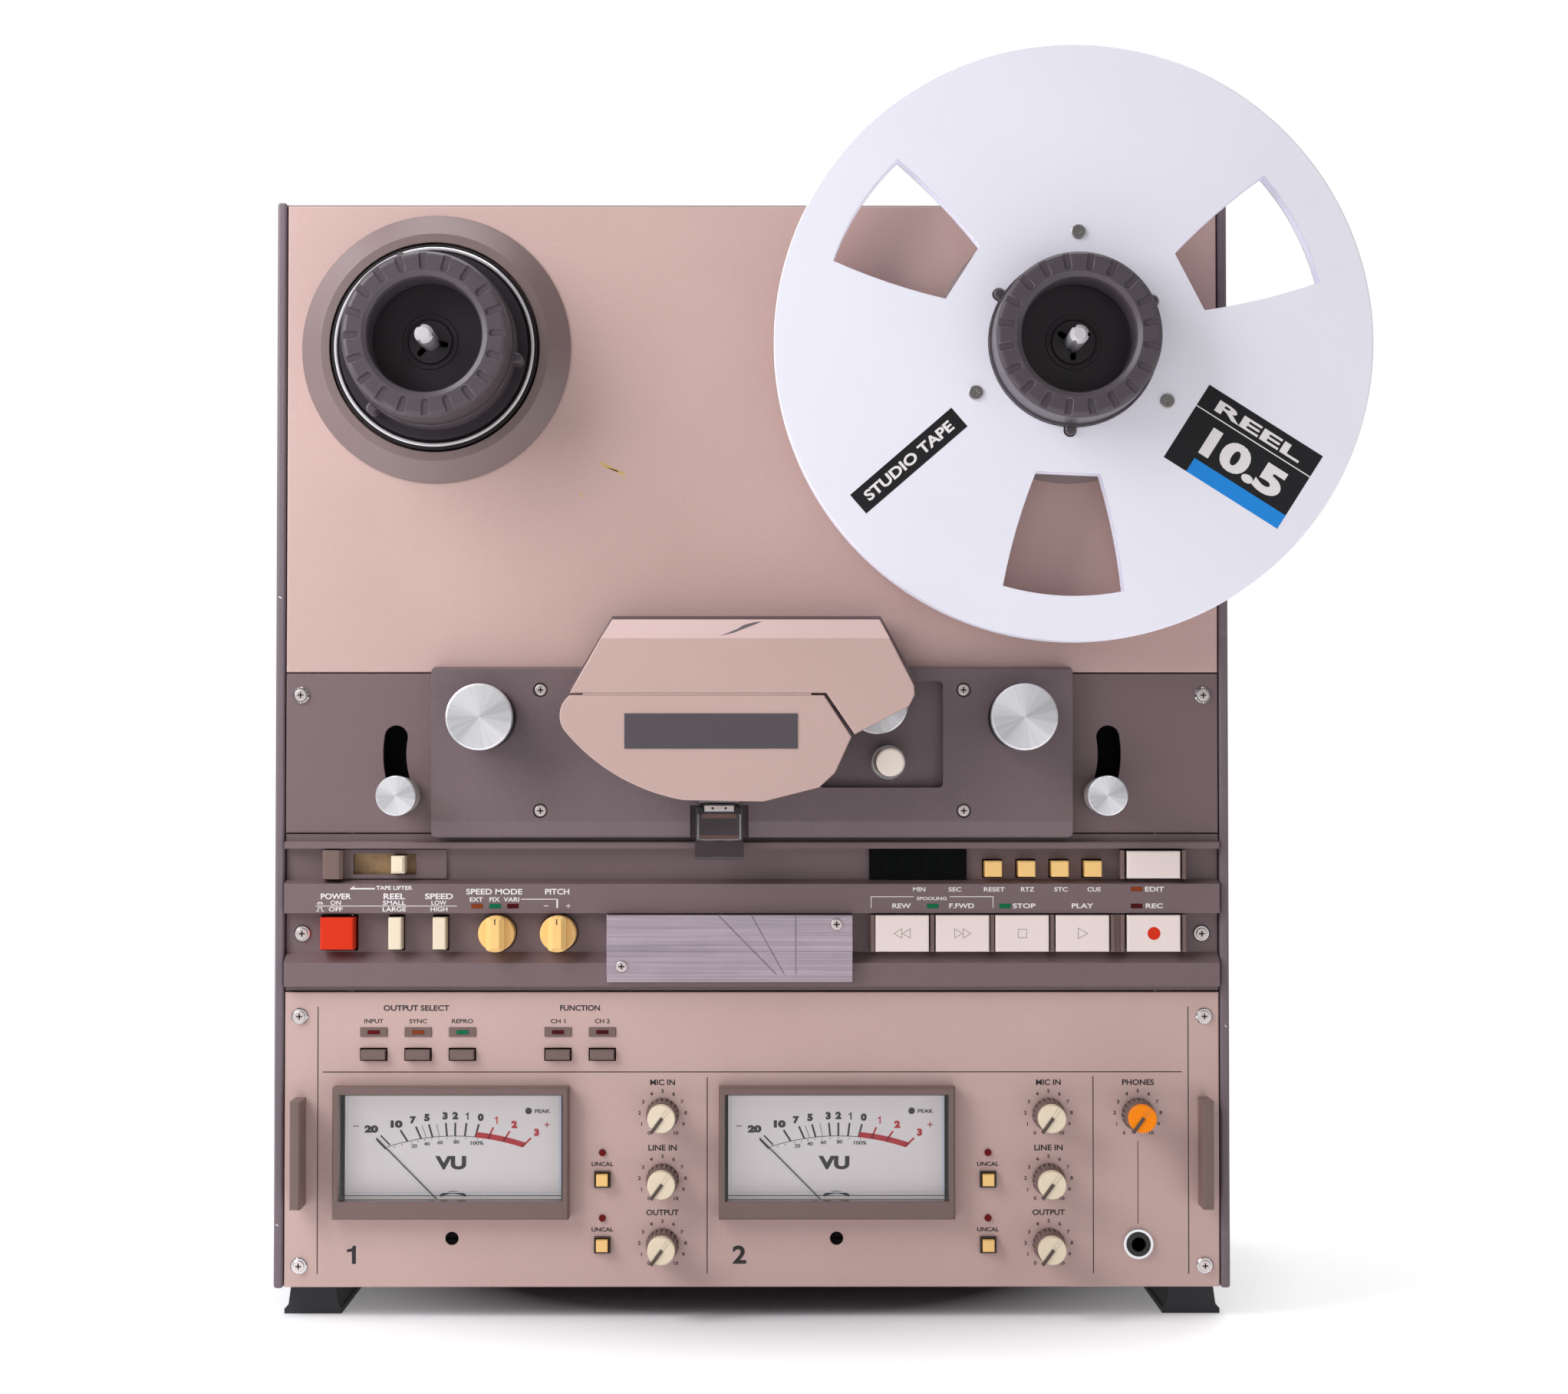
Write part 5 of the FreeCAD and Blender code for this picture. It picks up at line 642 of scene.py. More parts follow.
def inner_nodes():
    """Motors, boards and screws."""
    def motor(low, high):
        wide, tall, deep = size_of(low, high)
        if wide > 300 or wide < 20:
            return 0
        return 1 if deep > 20 else 2

    # The motors' mounting plate and small parts take the near black: painted shade.
    finish_node("drive_motors", [SHADE_BLACK, BLACK, CORE_IRON], motor)

    def board(low, high):
        wide, tall, deep = size_of(low, high)
        return 0 if wide > 200 else (2 if tall > 60 else 1)

    finish_node("circuit_boards", [BOARD, BLACK, CORE_IRON], board)
    heads = solids("fasteners", lambda low, high: high[2] > -4)

    def screw(low, high):
        return size_of(low, high)[0] > 7

    # Polygons inside a screw head's hollow take the dark tone: painted shade.
    def recess(x, z, proud):
        for low, high in heads:
            away = math.hypot(x - (low[0] + high[0]) / 2, z - (low[1] + high[1]) / 2)
            if away < RECESS_RADIUS and high[2] - RECESS_DEPTH < proud < high[2] - 0.05:
                return 2
        return None

    finish_node("fasteners", [SCREW, CHROME, RECESS_SHADE], screw, recess)


# ---- making pieces

def mesh_piece(name, points, faces, material, body):
    """A piece from points in metres and faces, riding on a body."""
    mesh = bpy.data.meshes.new(name)
    mesh.from_pydata([tuple(point) for point in points], [], faces)
    mesh.update()
    mesh.materials.append(material)
    piece = placed(name, mesh)
    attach(piece, body)
    return piece


# A printed shape is (points, faces) with points as (across, up) on a flat surface.

def printed(name, shapes, proud, material, body, where=spot):
    """Flat shapes printed on a surface, joined into one piece."""
    points = []
    faces = []
    for shape_points, shape_faces in shapes:
        start = len(points)
        points += [where(across, up, proud) for across, up in shape_points]
        faces += [tuple(start + index for index in face) for face in shape_faces]
    return mesh_piece(name, points, faces, material, body)


def moved(shape, across, up, degrees=0.0):
    """A shape turned about its own origin and then moved."""
    cos, sin = direction(degrees)
    points = [(across + x * cos - z * sin, up + x * sin + z * cos) for x, z in shape[0]]
    return points, shape[1]


def box_shape(across, up, width, height):
    x, z = width / 2, height / 2
    return ([(across - x, up - z), (across + x, up - z), (across + x, up + z), (across - x, up + z)],
            [(0, 1, 2, 3)])


def stroke(points, width, closed=False):
    """A line of even width through points, with mitred corners."""
    count = len(points)
    result = []
    for index, point in enumerate(points):
        before = points[index - 1] if closed or index else None
        after = points[(index + 1) % count] if closed or index < count - 1 else None
        ways = []
        for start, end in ((before, point), (point, after)):
            if start is not None and end is not None:
                length = math.hypot(end[0] - start[0], end[1] - start[1])
                ways.append(((end[0] - start[0]) / length, (end[1] - start[1]) / length))
        normal = (-sum(way[1] for way in ways), sum(way[0] for way in ways))
        length = math.hypot(*normal)
        normal = (normal[0] / length, normal[1] / length)
        reach = width / 2 / max(0.3, abs(normal[0] * -ways[0][1] + normal[1] * ways[0][0]))
        result.append((point[0] + normal[0] * reach, point[1] + normal[1] * reach))
        result.append((point[0] - normal[0] * reach, point[1] - normal[1] * reach))
    last = count if closed else count - 1
    faces = [(2 * i, 2 * i + 1, 2 * ((i + 1) % count) + 1, 2 * ((i + 1) % count)) for i in range(last)]
    return result, faces


def frame_shape(left, low, right, high, width):
    """An outlined rectangle."""
    return stroke([(left, low), (right, low), (right, high), (left, high)], width, True)


def arc_points(across, up, radius, start, end, count):
    turns = [direction(start + (end - start) * i / count) for i in range(count + 1)]
    return [(across + radius * cos, up + radius * sin) for cos, sin in turns]


def disc(across, up, radius, count=32):
    points = arc_points(across, up, radius, 0, 360 - 360 / count, count - 1)
    return points, [tuple(range(count))]


PLAIN_STRETCH = 1.15   # how much wider than the built-in face a word is when no width is given


@functools.lru_cache(None)
def outline_of(text, heavy):
    """The points and faces of a word in the built-in face; heavy thickens its strokes."""
    curve = bpy.data.curves.new("words", "FONT")
    curve.body = text
    curve.offset = heavy
    curve.resolution_u = 5
    holder = placed("words", curve)
    bpy.context.view_layer.update()
    shape = holder.evaluated_get(bpy.context.evaluated_depsgraph_get()).to_mesh()
    result = [(v.co.x, v.co.y) for v in shape.vertices], [tuple(p.vertices) for p in shape.polygons]
    bpy.data.objects.remove(holder)
    bpy.data.curves.remove(curve)
    return result


def letters(text, across, up, height, width=None, heavy=0.0):
    """Words centred on a place, with a cap height and, where given, a total width."""
    points, faces = outline_of(text, heavy)
    left, right = min(p[0] for p in points), max(p[0] for p in points)
    low, high = min(p[1] for p in points), max(p[1] for p in points)
    tall = height / (high - low)
    wide = width / (right - left) if width else tall * PLAIN_STRETCH
    flat = [((x - (left + right) / 2) * wide, (y - (low + high) / 2) * tall) for x, y in points]
    return moved((flat, faces), across, up)


def words(rows, weight):
    """Several words of one weight, each as (text, across, up, cap height, total width)."""
    return [letters(text, across, up, height, width, weight) for text, across, up, height, width in rows]


def raised(name, across, up, width, height, back, front, ease, material, body, where=spot):
    """A small block with bevelled front edges."""
    rings = ((0.0, back), (0.0, front - ease), (ease, front))
    points = []
    for inset, proud in rings:
        x, z = width / 2 - inset, height / 2 - inset
        points += [where(across + sx * x, up + sz * z, proud)
                   for sx, sz in ((-1, -1), (1, -1), (1, 1), (-1, 1))]
    faces = [(3, 2, 1, 0), (8, 9, 10, 11)]
    for level in (0, 4):
        faces += [(level + i, level + (i + 1) % 4, level + 4 + (i + 1) % 4, level + 4 + i) for i in range(4)]
    return mesh_piece(name, points, faces, material, body)


# ---- lettering of the control panel

STRIP_FRONT = 4.03
INK_LIFT = 0.03
TITLE_WEIGHT = 0.024
WORD_WEIGHT = 0.02


def control_lettering():
    """White words, rules, arrows and brackets on the strip between the two channels."""
    power, mode, pitch = (node_middle(name)[0] for name in ("power_button", "mode_knob", "pitch_knob"))
    size, speed = (node_middle(name)[0] for name in ("reel_size_button", "speed_button"))
    title, word, small = 2.6, 2.0, 1.8
    high, middle, low = 189.5, 186.6, 183.7
    shapes = words((
        ("POWER", power - 0.8, high, title, 13.6), ("REEL", size - 0.5, high, title, 9.7),
        ("SPEED", speed - 0.3, high, title, 12.6), ("SPEED MODE", mode - 1.0, 191.6, title, 25.2),
        ("PITCH", pitch - 0.4, 191.6, title, 10.9)), TITLE_WEIGHT)
    shapes += words((
        ("ON", power - 0.9, middle, word, 4.7), ("OFF", power - 0.9, low, word, 6.2),
        ("SMALL", size - 0.5, middle, word, 10.3), ("LARGE", size - 0.5, low, word, 10.5),
        ("LOW", speed - 0.3, middle, word, 6.8), ("HIGH", speed - 0.3, low, word, 7.6),
        ("TAPE LIFTER", -160.8, 193.3, small, 16.2), ("EXT", mode - 9.0, 188.1, word, 5.9),
        ("FIX", mode - 0.8, 188.1, word, 4.7), ("VARI", mode + 6.7, 188.1, word, 7.0),
        ("MIN", 75.1, 192.6, word, 5.6), ("SEC", 91.2, 192.6, word, 5.8),
        ("SPOOLING", 80.7, 188.5, 1.5, 13.4)), WORD_WEIGHT)
    shapes += [
        box_shape(pitch - 5.4, 185.2, 2.0, 0.35), box_shape(pitch + 4.6, 185.2, 2.0, 0.35),
        box_shape(pitch + 4.6, 185.2, 0.35, 2.0),
        stroke([(-103.9, 188.2), (pitch - 0.4, 188.2)], 0.35),
        box_shape(pitch - 0.4, 186.25, 0.8, 4.1),
        stroke([(-196.0, 185.15), (-132.7, 185.15)], 0.3),
        ([(-180.7, 192.9), (-178.9, 194.1), (-178.4, 194.1), (-179.2, 193.25), (-169.5, 193.25),
          (-169.5, 192.6), (-180.5, 192.6)], [(0, 1, 2, 3), (0, 3, 4, 5, 6)]),
        stroke([(-195.6, 186.1), (-192.6, 186.1)], 0.3),
        stroke([(-195.1, 186.1), (-194.9, 186.75), (-193.3, 186.75), (-193.1, 186.1)], 0.4),
        stroke([(-195.9, 182.9), (-194.9, 182.9), (-194.9, 184.4), (-193.3, 184.4), (-193.3, 182.9),
                (-192.3, 182.9)], 0.3)]
    for text, button in (("RESET", "counter_reset_button"), ("RTZ", "return_zero_button"),
                         ("STC", "search_button"), ("CUE", "cue_button")):
        wide = 9.4 if text == "RESET" else 6.0
        shapes.append(letters(text, node_middle(button)[0] + 0.4, 192.6, word, wide, WORD_WEIGHT))
    for text, key_name, shift, up, wide in (
            ("REW", "rewind_key", -0.2, 185.2, 8.4), ("F.FWD", "fast_forward_key", -0.3, 185.2, 11.2),
            ("STOP", "stop_key", 1.0, 185.2, 10.2), ("PLAY", "play_key", 0.2, 185.2, 9.8),
            ("REC", "record_key", 0.5, 185.2, 7.8), ("EDIT", "edit_key", 0.6, 192.7, 8.6)):
        shapes.append(letters(text, node_middle(key_name)[0] + shift, up, 2.2, wide, TITLE_WEIGHT))
    for edge, inner in ((53.5, 72.6), (108.3, 88.8)):
        shapes.append(stroke([(edge, 184.3), (edge, 189.3), (inner, 189.3)], 0.32))
    printed("control_lettering", shapes, STRIP_FRONT + INK_LIFT, WHITE_INK, "cabinet")


def control_lights():
    """Small flush lights on the strip."""
    mode, rewind, stop = (node_middle(name)[0] for name in ("mode_knob", "rewind_key", "stop_key"))
    record = node_middle("record_key")[0]
    for name, across, up, kind in (
            ("ext_light", mode - 8.7, 185.1, "amber"), ("fix_light", mode - 0.6, 185.1, "green"),
            ("vari_light", mode + 7.4, 185.1, "dark_red"), ("spooling_light", rewind + 13.8, 185.1, "green"),
            ("stop_light", stop - 7.6, 185.1, "green"), ("record_light", record - 7.5, 185.1, "dark_red"),
            ("edit_light", record - 7.5, 192.7, "amber")):
        raised(name, across, up, 5.2, 2.1, 3.0, STRIP_FRONT + 0.15, 0.12, LIGHTS[kind], "cabinet")


def triangle(across, up, reach, rise):
    """An outlined triangle whose point is at across + reach."""
    return stroke([(across, up - rise), (across + reach, up), (across, up + rise)], 0.28, True)


def key_glyphs():
    """The outlined marks on the transport keys."""
    front = node_box("play_key")[1][2] + INK_LIFT
    for key_name, way in (("rewind_key", -1), ("fast_forward_key", 1)):
        across, up = node_middle(key_name)
        printed(key_name + "_mark", [triangle(across - way * 3.6, up, way * 3.5, 2.1),
                                     triangle(across + way * 0.2, up, way * 3.5, 2.1)],
                front, BROWN_INK, key_name)
    across, up = node_middle("stop_key")
    printed("stop_key_mark", [frame_shape(across - 1.9, up - 1.9, across + 1.9, up + 1.9, 0.28)], front,
            BROWN_INK, "stop_key")
    across, up = node_middle("play_key")
    printed("play_key_mark", [triangle(across - 2.0, up, 4.2, 2.4)], front, BROWN_INK, "play_key")
    across, up = node_middle("record_key")
    printed("record_key_mark", [disc(across, up, 2.9)], front, RED, "record_key")


# ---- lettering of the amplifier panel

def ring_numbers(across, up, radius=10.4):
    """0 to 10 round a level knob, clockwise from the lower left."""
    shapes = []
    for number in range(11):
        cos, sin = direction(POINTER_ANGLE - 28.8 * number)
        shapes.append(letters(str(number), across + radius * cos, up + radius * sin, 1.65, None, 0.03))
    return shapes


# The channel number 1, drawn with its flag.
BIG_ONE = ([(0.3, -4.1), (2.1, -4.1), (2.1, 4.1), (0.7, 4.1), (0.3, 2.9), (-2.0, 2.4), (-2.0, 1.2),
            (0.3, 1.4)], [(0, 1, 2, 3, 4, 7), (4, 5, 6, 7)])
PANEL_TITLE_WEIGHT = 0.028


def amplifier_lettering():
    """Black words, numbers and rules on the pale panel."""
    title, word = 2.6, 1.95
    first_input = node_middle("output_input_button")[0]
    sync = node_middle("output_sync_button")[0]
    repro = node_middle("output_repro_button")[0]
    channel_one, channel_two = (node_middle("function_button_%d" % n)[0] for n in (1, 2))
    shapes = words((
        ("OUTPUT SELECT", sync - 0.8, 139.1, title, 29.6),
        ("FUNCTION", (channel_one + channel_two) / 2 - 0.1, 139.1, title, 18.0)), PANEL_TITLE_WEIGHT)
    shapes += words((
        ("INPUT", first_input, 133.2, word, 8.6), ("SYNC", sync, 133.2, word, 8.0),
        ("REPRO", repro, 133.2, word, 9.6), ("CH 1", channel_one, 133.2, word, 6.6),
        ("CH 2", channel_two, 133.2, word, 6.8)), TITLE_WEIGHT)
    shapes += [moved(BIG_ONE, -180.1, 28.5), letters("2", -5.7, 28.5, 8.2, 6.1, 0.03)]
    for start, end in (((-195.4, 19.8), (-195.4, 139.7)), ((196.4, 19.8), (196.4, 139.7)),
                       ((-193.3, 110.4), (193.6, 110.4)), ((-20.2, 20.0), (-20.2, 108.0)),
                       ((153.5, 20.0), (153.5, 108.4))):
        shapes.append(stroke([start, end], 0.45))
    for channel in (1, 2):
        for kind, text, wide in (("mic", "MIC IN", 11.2), ("line", "LINE IN", 12.8),
                                 ("output", "OUTPUT", 14.6)):
            across, up = node_middle("%s_level_knob_%d" % (kind, channel))
            shapes.append(letters(text, across, up + 14.3, title, wide, PANEL_TITLE_WEIGHT))
            shapes += ring_numbers(across, up)
        for kind in ("mic", "output"):
            across, up = node_middle("%s_uncal_button_%d" % (kind, channel))
            shapes.append(letters("UNCAL", across, up + 6.8, word, 9.8, 0.034))
    across, up = node_middle("phones_level_knob")
    shapes.append(letters("PHONES", across + 0.2, up + 14.3, title, 14.4, PANEL_TITLE_WEIGHT))
    shapes += ring_numbers(across, up)
    shapes.append(stroke([(across, 42.3), (across, 79.4)], 0.35))
    printed("amplifier_lettering", shapes, INK_LIFT, BLACK_INK, "cabinet")


def knob_grooves():
    """Two fine lines across each level knob's cap, opposite its pointer."""
    for name in LEVEL_KNOBS:
        across, up = node_middle(name)
        front = solids(name, lambda low, high: low[2] > 0)[0][1][2]
        shapes = [moved(([(1.2, side - 0.07), (5.7, side - 0.07), (5.7, side + 0.07), (1.2, side + 0.07)],
                         [(0, 1, 2, 3)]), across, up, 54) for side in (-0.75, 0.75)]
        printed(name + "_lines", shapes, front + INK_LIFT, BROWN_INK, name)


# ---- meter dials

VU_MARKS = (("20", 134.2), ("10", 122.7), ("7", 113.8), ("5", 106.0), ("3", 95.6), ("2", 89.7), ("1", 82.7),
            ("0", 75.1), ("1", 66.2), ("2", 56.6), ("3", 45.2))
PERCENT_MARKS = (("20", 121.0), ("40", 112.0), ("60", 102.0), ("80", 89.4), ("100%", 73.4))


# The dial: how proud it stands, the needle's pivot, and the printed arc and how far below the pivot
# its centre lies.
DIAL_FRONT = max(high[2] for low, high in solids("vu_meters", is_dial))
NEEDLE_PIVOT_UP = 45.6
SCALE_RADIUS = 97.7
SCALE_DROP = 62.2


def on_scale(pivot, angle, lift=0.0):
    """Where a ray from the needle's pivot meets the flat scale arc, and its direction."""
    across, up = direction(angle)
    radius = SCALE_RADIUS + lift
    along = -up * SCALE_DROP + math.sqrt((up * SCALE_DROP) ** 2 - SCALE_DROP ** 2 + radius ** 2)
    return (pivot[0] + across * along, pivot[1] + up * along), (across, up)


def tick(pivot, angle, length, width, start=0.0):
    (x, z), (across, up) = on_scale(pivot, angle, start)
    return stroke([(x, z), (x + across * length, z + up * length)], width)


def numeral(text, across, up):
    """A bold scale numeral; the one is drawn with its flag."""
    if text == "1":
        return moved(([(-0.1, -1.7), (0.5, -1.7), (0.5, 1.7), (0.1, 1.7), (-0.1, 1.2), (-0.9, 0.9),
                       (-0.9, 0.4), (-0.1, 0.6)], [(0, 1, 2, 3, 4, 7), (4, 5, 6, 7)]), across, up)
    return letters(text, across, up, 3.4, {"20": 6.2, "10": 5.4}.get(text), 0.075)


def meter_dial(channel, across):
    """The printed scale of one meter, with its red zone, words and peak light."""
    pivot = (across + 0.7, NEEDLE_PIVOT_UP)
    front = DIAL_FRONT + INK_LIFT
    black = [stroke([on_scale(pivot, angle)[0] for angle in range(135, 74, -2)], 0.3),
             letters("VU", across - 1.1, 69.1, 6.1, 14.0, 0.05),
             letters("PEAK", across + 40.3, 92.3, 1.75, 7.1, 0.03),
             box_shape(across - 43.9, 85.6, 2.6, 0.35)]
    red = []
    for index, (text, angle) in enumerate(VU_MARKS):
        target = black if index < 8 else red
        place, way = on_scale(pivot, angle)
        if index:
            target.append(tick(pivot, angle, 6.0 if index < 8 else 5.6, 0.85))
        reach = 9.2 if index else 11.0
        target.append(numeral(text, place[0] + way[0] * reach, place[1] + way[1] * reach))
    for shift in (-1.6, 1.0):
        black.append(moved(tick((0, 0), 134.2, 6.0, 0.7), pivot[0] + shift * 0.7, pivot[1] + shift * 0.7))
    for angle in (110.2, 101.2):
        black.append(tick(pivot, angle, 6.0, 0.25))
    for angle in (131.5, 127.0, 121.0, 116.5, 112.0, 107.0, 102.0, 95.8, 89.4, 81.6, 73.4):
        place, way = on_scale(pivot, angle, -0.9)
        black.append(disc(place[0], place[1], 0.27, 12))
    for text, angle in PERCENT_MARKS:
        place, way = on_scale(pivot, angle, -2.6)
        black.append(letters(text, place[0] + 0.4, place[1], 1.7, 5.8 if text == "100%" else None, 0.03))
    zone = [on_scale(pivot, angle, lift)[0] for lift in (-0.2, 2.3) for angle in range(75, 43, -3)]
    half = len(zone) // 2
    red.append((zone, [(i, i + 1, half + i + 1, half + i) for i in range(half - 1)]))
    red.append(box_shape(across + 42.3, 86.2, 2.4, 0.45))
    red.append(box_shape(across + 42.3, 86.2, 0.45, 2.4))
    left, right, low, high = across - 50.0, across + 50.0, 53.6, 100.8
    black += [box_shape(across, low + 0.7, 100.0, 0.35), box_shape(across, high - 1.4, 100.0, 0.3),
              stroke(arc_points(across, low - 9.4, 11.6, 60, 120, 14), 1.2)]
    # Pale strips inside the frame at the left, right and bottom: painted highlights on the clear front's
    # edges.
    clear = [box_shape(left + 2.4, (low + high) / 2, 0.7, high - low - 3.2),
             box_shape(right - 1.8, (low + high) / 2, 1.1, high - low - 3.2),
             box_shape(across, low + 2.2, 95.0, 0.5)]
    light = [disc(across + 34.0, 92.4, 1.5)]
    for name, shapes, lift, ink in (
            ("edge_highlights", clear, 0.005, EDGE_HIGHLIGHT), ("scale", black, 0.0, BLACK_INK),
            ("red_zone", red, 0.01, RED_INK), ("peak_light", light, 0.0, BLACK)):
        printed("meter_%d_%s" % (channel, name), shapes, front + lift, ink, "cabinet")


def meter_dials():
    bezels = sorted((low[0] + high[0]) / 2 for low, high in solids("vu_meters", is_bezel))
    for channel, across in enumerate(bezels, start=1):
        meter_dial(channel, across)


# ---- reel labels and marks of use

def reel_labels():
    """Two plain labels on the reel: a black strip and a black card with a blue band."""
    across, up = node_middle("tape_reel")
    front = solids("tape_reel", lambda low, high: size_of(low, high)[0] > 200)[0][1][2] + 0.06
    strip = (across - 73.4, up - 52.9, 40.8)
    card = (across + 75.2, up - 51.1, -32.4)
    white = [moved(letters("STUDIO TAPE", 0, 0, 5.0, 50.0, 0.03), *strip),
             moved(box_shape(0, 8.2, 59.6, 0.5), *card),
             moved(letters("REEL", 0, 13.2, 5.4, 44.0, 0.03), *card),
             moved(letters("10.5", 2.0, -2.6, 13.5, 40.0, 0.05), *card)]
    for name, shapes, lift, material, slot_name in (
            ("strip_label", [moved(box_shape(0, 0, 59.5, 11.0), *strip)], 0.0, STICKER, "black_plastic"),
            ("card_label", [moved(box_shape(0, 0, 59.6, 38.2), *card)], 0.0, STICKER, "black_plastic"),
            ("label_lettering", white, 0.03, WHITE_INK, "key_white"),
            ("card_band", [moved(box_shape(5.9, -15.6, 47.8, 7.0), *card)], 0.02, BLUE_INK, "key_white")):
        printed("reel_" + name, shapes, front + lift, material, "tape_reel")


def front_of(name, across, up):
    """How proud a node's front surface stands at a place."""
    start = spot(across, up, 120)
    hit, place, normal, index = NODES[name].ray_cast(start, Vector((0, 1, 0)))
    return measures(place)[2] if hit else 0.0


def draped(name, outline, node_name, lift, material, body):
    """A flat mark whose corners each lie on the node's surface."""
    points = [spot(across, up, front_of(node_name, across, up) + lift) for across, up in outline]
    return mesh_piece(name, points, [tuple(range(len(points)))], material, body)


def marks_of_use():
    """A scuff on the head cover's brow, paint chips on a side edge and faint yellow rubs on the deck."""
    scuff = paint("scuff_grey", "60585e", 0.6, other="786e72", grain=0.2)
    rub = paint("yellow_rub", "d0ac64", 0.6, grain=0.2)
    draped("cover_scuff", [(-14.1, 305.0), (-8.0, 306.5), (-2.5, 308.7), (0.6, 309.9), (4.5, 311.6),
                           (1.0, 311.3), (-3.6, 310.0), (-6.4, 308.2)], "head_cover", 0.05, scuff,
           "cabinet")
    printed("deck_rubs", [
        stroke([(-68.6, 385.2), (-63.2, 382.4), (-57.6, 379.6)], 1.1),
        stroke([(-67.0, 383.4), (-60.6, 381.2)], 0.5), stroke([(-78.0, 371.6), (-76.6, 369.6)], 0.6)],
        0.04, rub, "cabinet")
    chip = paint("bare_chip", "e2dce2", 0.4, grain=0.1)
    for index, (across, up, reach) in enumerate((
            (-213.2, 324.2, 1.0), (-213.4, 42.0, 0.8), (213.3, 131.0, 0.6))):
        printed("side_chip_%d" % index, [([(across - reach, up + 0.5), (across - 0.2 * reach, up - 0.3),
                                           (across + reach, up - 0.7), (across + 0.3 * reach, up + 0.2)],
                                          [(0, 1, 2, 3)])], front_of("cabinet_shell", across, up) + 0.04,
                chip, "cabinet")
    floor = front_of("head_block", 62.8, 241.5) + 0.04
    printed("capstan_mark", [([(61.9, 243.4), (63.7, 243.4), (62.9, 239.9)], [(0, 1, 2)])], floor, TRIM,
            "cabinet")


# ---- counter, shield and rear

def counter_digits():
    """The unlit bars of four digits behind the dark counter window."""
    faint = paint("unlit_green", "0a1a0e", 0.5, grain=0.02, shine=0.05)
    low, high = solids("control_panel", is_window)[0]
    middle = (low[1] + high[1]) / 2
    bars = []
    for step_across in (-12.5, -5.5, 5.5, 12.5):
        across = (low[0] + high[0]) / 2 + step_across
        bars += [box_shape(across, middle + rise, 2.6, 0.55) for rise in (-3.2, 0.0, 3.2)]
        bars += [box_shape(across + side * 1.65, middle + rise, 0.55, 2.4)
                 for side in (-1, 1) for rise in (-1.6, 1.6)]
    printed("counter_digits", bars, high[2] + 0.03, faint, "cabinet")


def shield_details():
    """The shield's bright side edges and the hinge bar with its two rivets and black knuckles."""
    low, high = node_box("head_shield")
    middle = (low[0] + high[0]) / 2
    plate_low, plate_high = solids("head_shield", lambda low, high: high[1] > SHIELD_HINGE)[0]
    front = plate_high[2]
    left, right = plate_low[0], plate_high[0]
    bottom = plate_low[1] + 0.6
    top = high[1] - 4.6
    edges = [box_shape(left + 0.9, (bottom + top) / 2, 0.8, top - bottom),
             box_shape(right - 0.9, (bottom + top) / 2, 0.8, top - bottom),
             box_shape(middle, bottom + 0.3, right - left - 1.4, 0.45)]
    printed("shield_edges", edges, front + 0.04, CHROME, "head_shield")
    glow = paint("shield_sheen", "785c54", 0.3, other="5c4642", drift=0.8, metal=0.4, spread=120.0)
    printed("shield_sheen", [box_shape(middle, bottom + 1.5, right - left - 3.0, 1.5),
                             box_shape(middle, top - 0.9, right - left - 5.0, 1.8)],
            front + 0.03, glow, "head_shield")
    raised("shield_hinge_bar", middle, top + 2.6, 13.4, 2.7, front - 1.0, front + 0.5, 0.2, SCREW,
           "head_shield")
    printed("shield_rivets", [disc(middle + side * 2.9, top + 2.7, 0.55, 16) for side in (-1, 1)],
            front + 0.54, BLACK, "head_shield")
    for side in (-1, 1):
        raised("shield_knuckle_%s" % ("left" if side < 0 else "right"), middle + side * 8.1, top + 1.9, 2.6,
               3.8, front - 1.4, front + 0.7, 0.7, BLACK, "head_shield")


REAR_OUT = -solids("rear_panel", lambda low, high: size_of(low, high)[0] > 300)[0][0][2]


def behind(across, up, out):
    """A point of the rear as seen from behind, with across to the viewer's right."""
    return spot(-across, up, -REAR_OUT - out)


def rear_lettering():
    """Plain words and rules beside the rear sockets."""
    shapes = words([
        ("LINE IN", -86, 72.6, 2.2, 12.0), ("LINE OUT", -138, 72.6, 2.2, 14.0),
        ("MIC IN", 27, 87.2, 2.6, 13.0), ("REMOTE CONTROL", -100, 142.2, 2.4, 30.0),
        ("EARTH", -20, 121.0, 2.2, 10.0), ("FUSE", 120, 80.2, 2.4, 8.6), ("AC IN", 160, 82.0, 2.4, 9.4)] + [
        (text, across, up, 2.0, 6.6) for text, across, up in (
            ("CH 1", 10, 57.6), ("CH 2", 44, 57.6), ("CH 1", -60, 97.0), ("CH 2", -86, 97.0),
            ("CH 1", -112, 97.0), ("CH 2", -138, 97.0))], TITLE_WEIGHT)
    shapes += [frame_shape(*corners, 0.4) for corners in (
        (-150.5, 47.6, -100.5, 101.0), (-98.5, 47.6, -47.5, 101.0), (-5, 53.0, 59, 92.0),
        (106, 50.0, 181, 87.0))]
    printed("rear_lettering", shapes, 0.04, WHITE_INK, "cabinet", behind)


# ---- studio

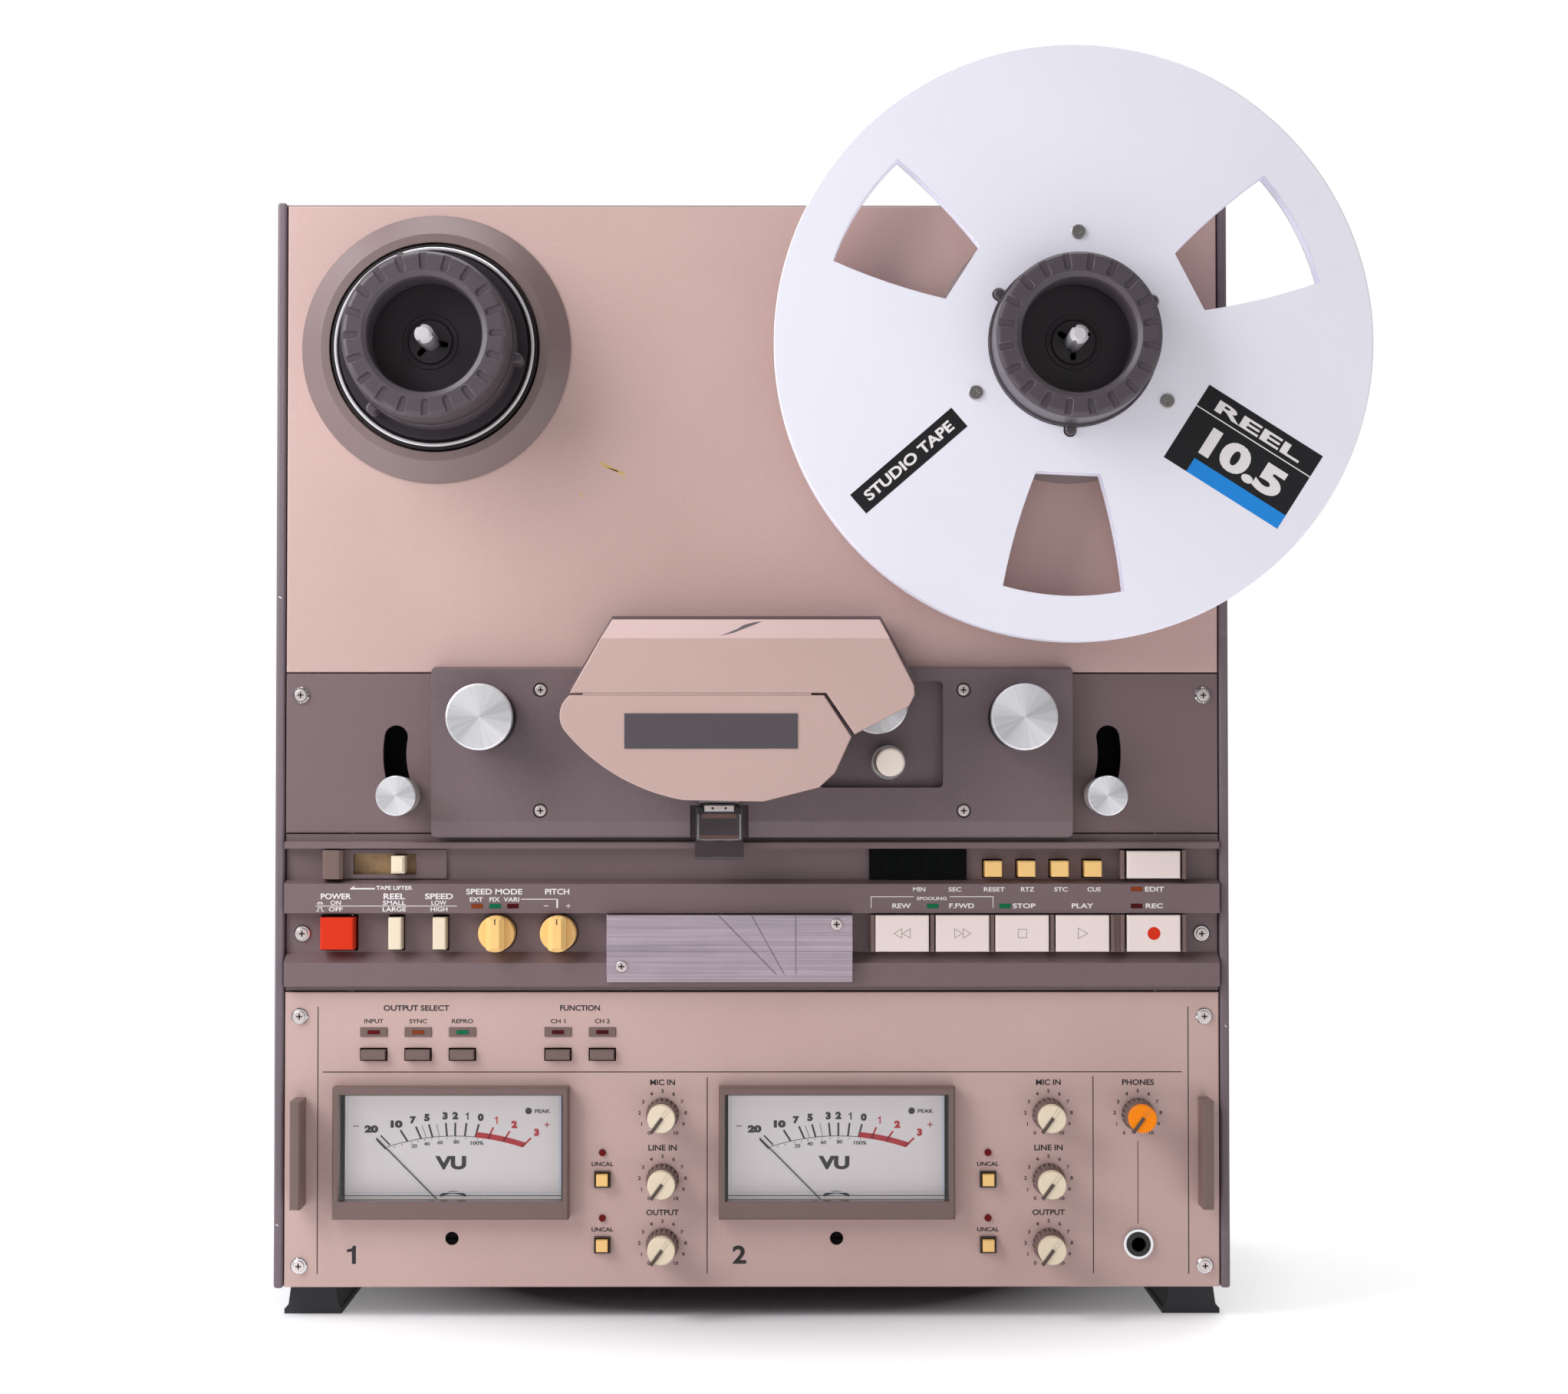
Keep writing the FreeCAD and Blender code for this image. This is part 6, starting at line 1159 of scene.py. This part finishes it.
def studio_paper():
    """White paper near the machine that fades into the bright backdrop further off."""
    material, tree, surface, where = blank("studio_paper")
    near = vector_calc(tree, "SUBTRACT", where, _1=spot(0, 0, -140))[0]
    reach = vector_calc(tree, "LENGTH", near)["Value"]
    base = mixed(tree, noise(tree, where, 90.0, 3.0), tone("fcfbfd"), tone("f8f7fa"))
    feed(tree, surface, Base_Color=base, Roughness=0.6, Emission_Color=(1, 1, 1, 1),
         Emission_Strength=ramp(tree, reach, 0.13, 0.27, 0.36))
    glow = step(tree, "Emission", Color=(1, 1, 1, 1), Strength=1.0)
    share = ramp(tree, reach, 0.32, 0.95, kind="SMOOTHSTEP")
    blend = step(tree, "MixShader", _0=share, _1=surface.outputs[0], _2=glow.outputs[0])
    feed(tree, tree.nodes["Material Output"], Surface=blend.outputs[0])
    return material


WHITE = (1.0, 1.0, 1.0)
# name, place from the machine's middle in metres, width and height, power, colour
LAMPS = (("key_light", (-0.68, -0.52, 0.46), (0.5, 0.8), 7.6, (0.955, 0.975, 1.0)),
         ("fill_light", (1.3, -1.6, 0.5), (0.9, 1.4), 1.0, WHITE),
         ("top_light", (0.0, 0.2, 1.9), (1.6, 0.9), 15.0, WHITE),
         ("rear_light", (0.8, 1.9, 1.2), (1.4, 1.0), 16.0, WHITE))
FLOOR_REACH = 6.0
CAMERA_PLACE = (4.87, 251.5, 1319.5)
CAMERA_TILT, CAMERA_TURN = 91.46, -0.20
CAMERA_LENS = 67.08
CAMERA_SHIFT = (0.0069, -0.0084)


def studio():
    """A pale floor, soft lights and the camera at the front."""
    world = bpy.data.worlds.new("studio")
    bpy.context.scene.world = world
    world.use_nodes = True
    tree = world.node_tree
    back = tree.nodes["Background"]
    seen = step(tree, "Background", Color=(1, 1, 1, 1), Strength=1.0)
    parts = step(tree, "SeparateXYZ", Vector=step(tree, "TexCoord").outputs["Generated"])
    feed(tree, back, Color=(1.0, 0.985, 0.98, 1),
         Strength=ramp(tree, parts.outputs[2], -0.15, 0.75, 0.34, 0.13))
    camera_ray = step(tree, "LightPath").outputs["Is Camera Ray"]
    mix = step(tree, "MixShader", _0=camera_ray, _1=back.outputs[0], _2=seen.outputs[0])
    feed(tree, tree.nodes["World Output"], Surface=mix.outputs[0])

    low, high = cad_box
    middle = (low + high) / 2
    for name, place, size, power, colour in LAMPS:
        lamp = bpy.data.lights.new(name, "AREA")
        lamp.shape = "RECTANGLE"
        lamp.size, lamp.size_y = size
        lamp.energy = power
        lamp.color = colour
        holder = placed(name, lamp)
        holder.location = middle + Vector(place)
        holder.rotation_euler = (middle - holder.location).to_track_quat("-Z", "Y").to_euler()
        holder.visible_camera = False

    corners = ((-1, -1), (1, -1), (1, 1), (-1, 1))
    mesh = bpy.data.meshes.new("floor")
    mesh.from_pydata([(x * FLOOR_REACH, y * FLOOR_REACH, low.z) for x, y in corners], [], [(0, 1, 2, 3)])
    mesh.materials.append(studio_paper())
    placed("floor", mesh)

    lens = bpy.data.cameras.new("camera")
    lens.lens = CAMERA_LENS
    lens.shift_x, lens.shift_y = CAMERA_SHIFT
    lens.clip_end = 50
    camera = placed("camera", lens)
    camera.location = spot(*CAMERA_PLACE)
    camera.rotation_euler = (math.radians(CAMERA_TILT), 0, math.radians(CAMERA_TURN))
    bpy.context.scene.camera = camera
    bpy.context.scene.view_settings.view_transform = "Standard"


for part in (plain_nodes, cabinet_nodes, rear_node, head_nodes, control_node, amplifier_node, meter_node,
             hub_nodes, tape_path_nodes, knob_nodes, inner_nodes, control_lettering, control_lights,
             key_glyphs, amplifier_lettering, knob_grooves, meter_dials, reel_labels, marks_of_use,
             counter_digits, shield_details, rear_lettering, studio):
    part()
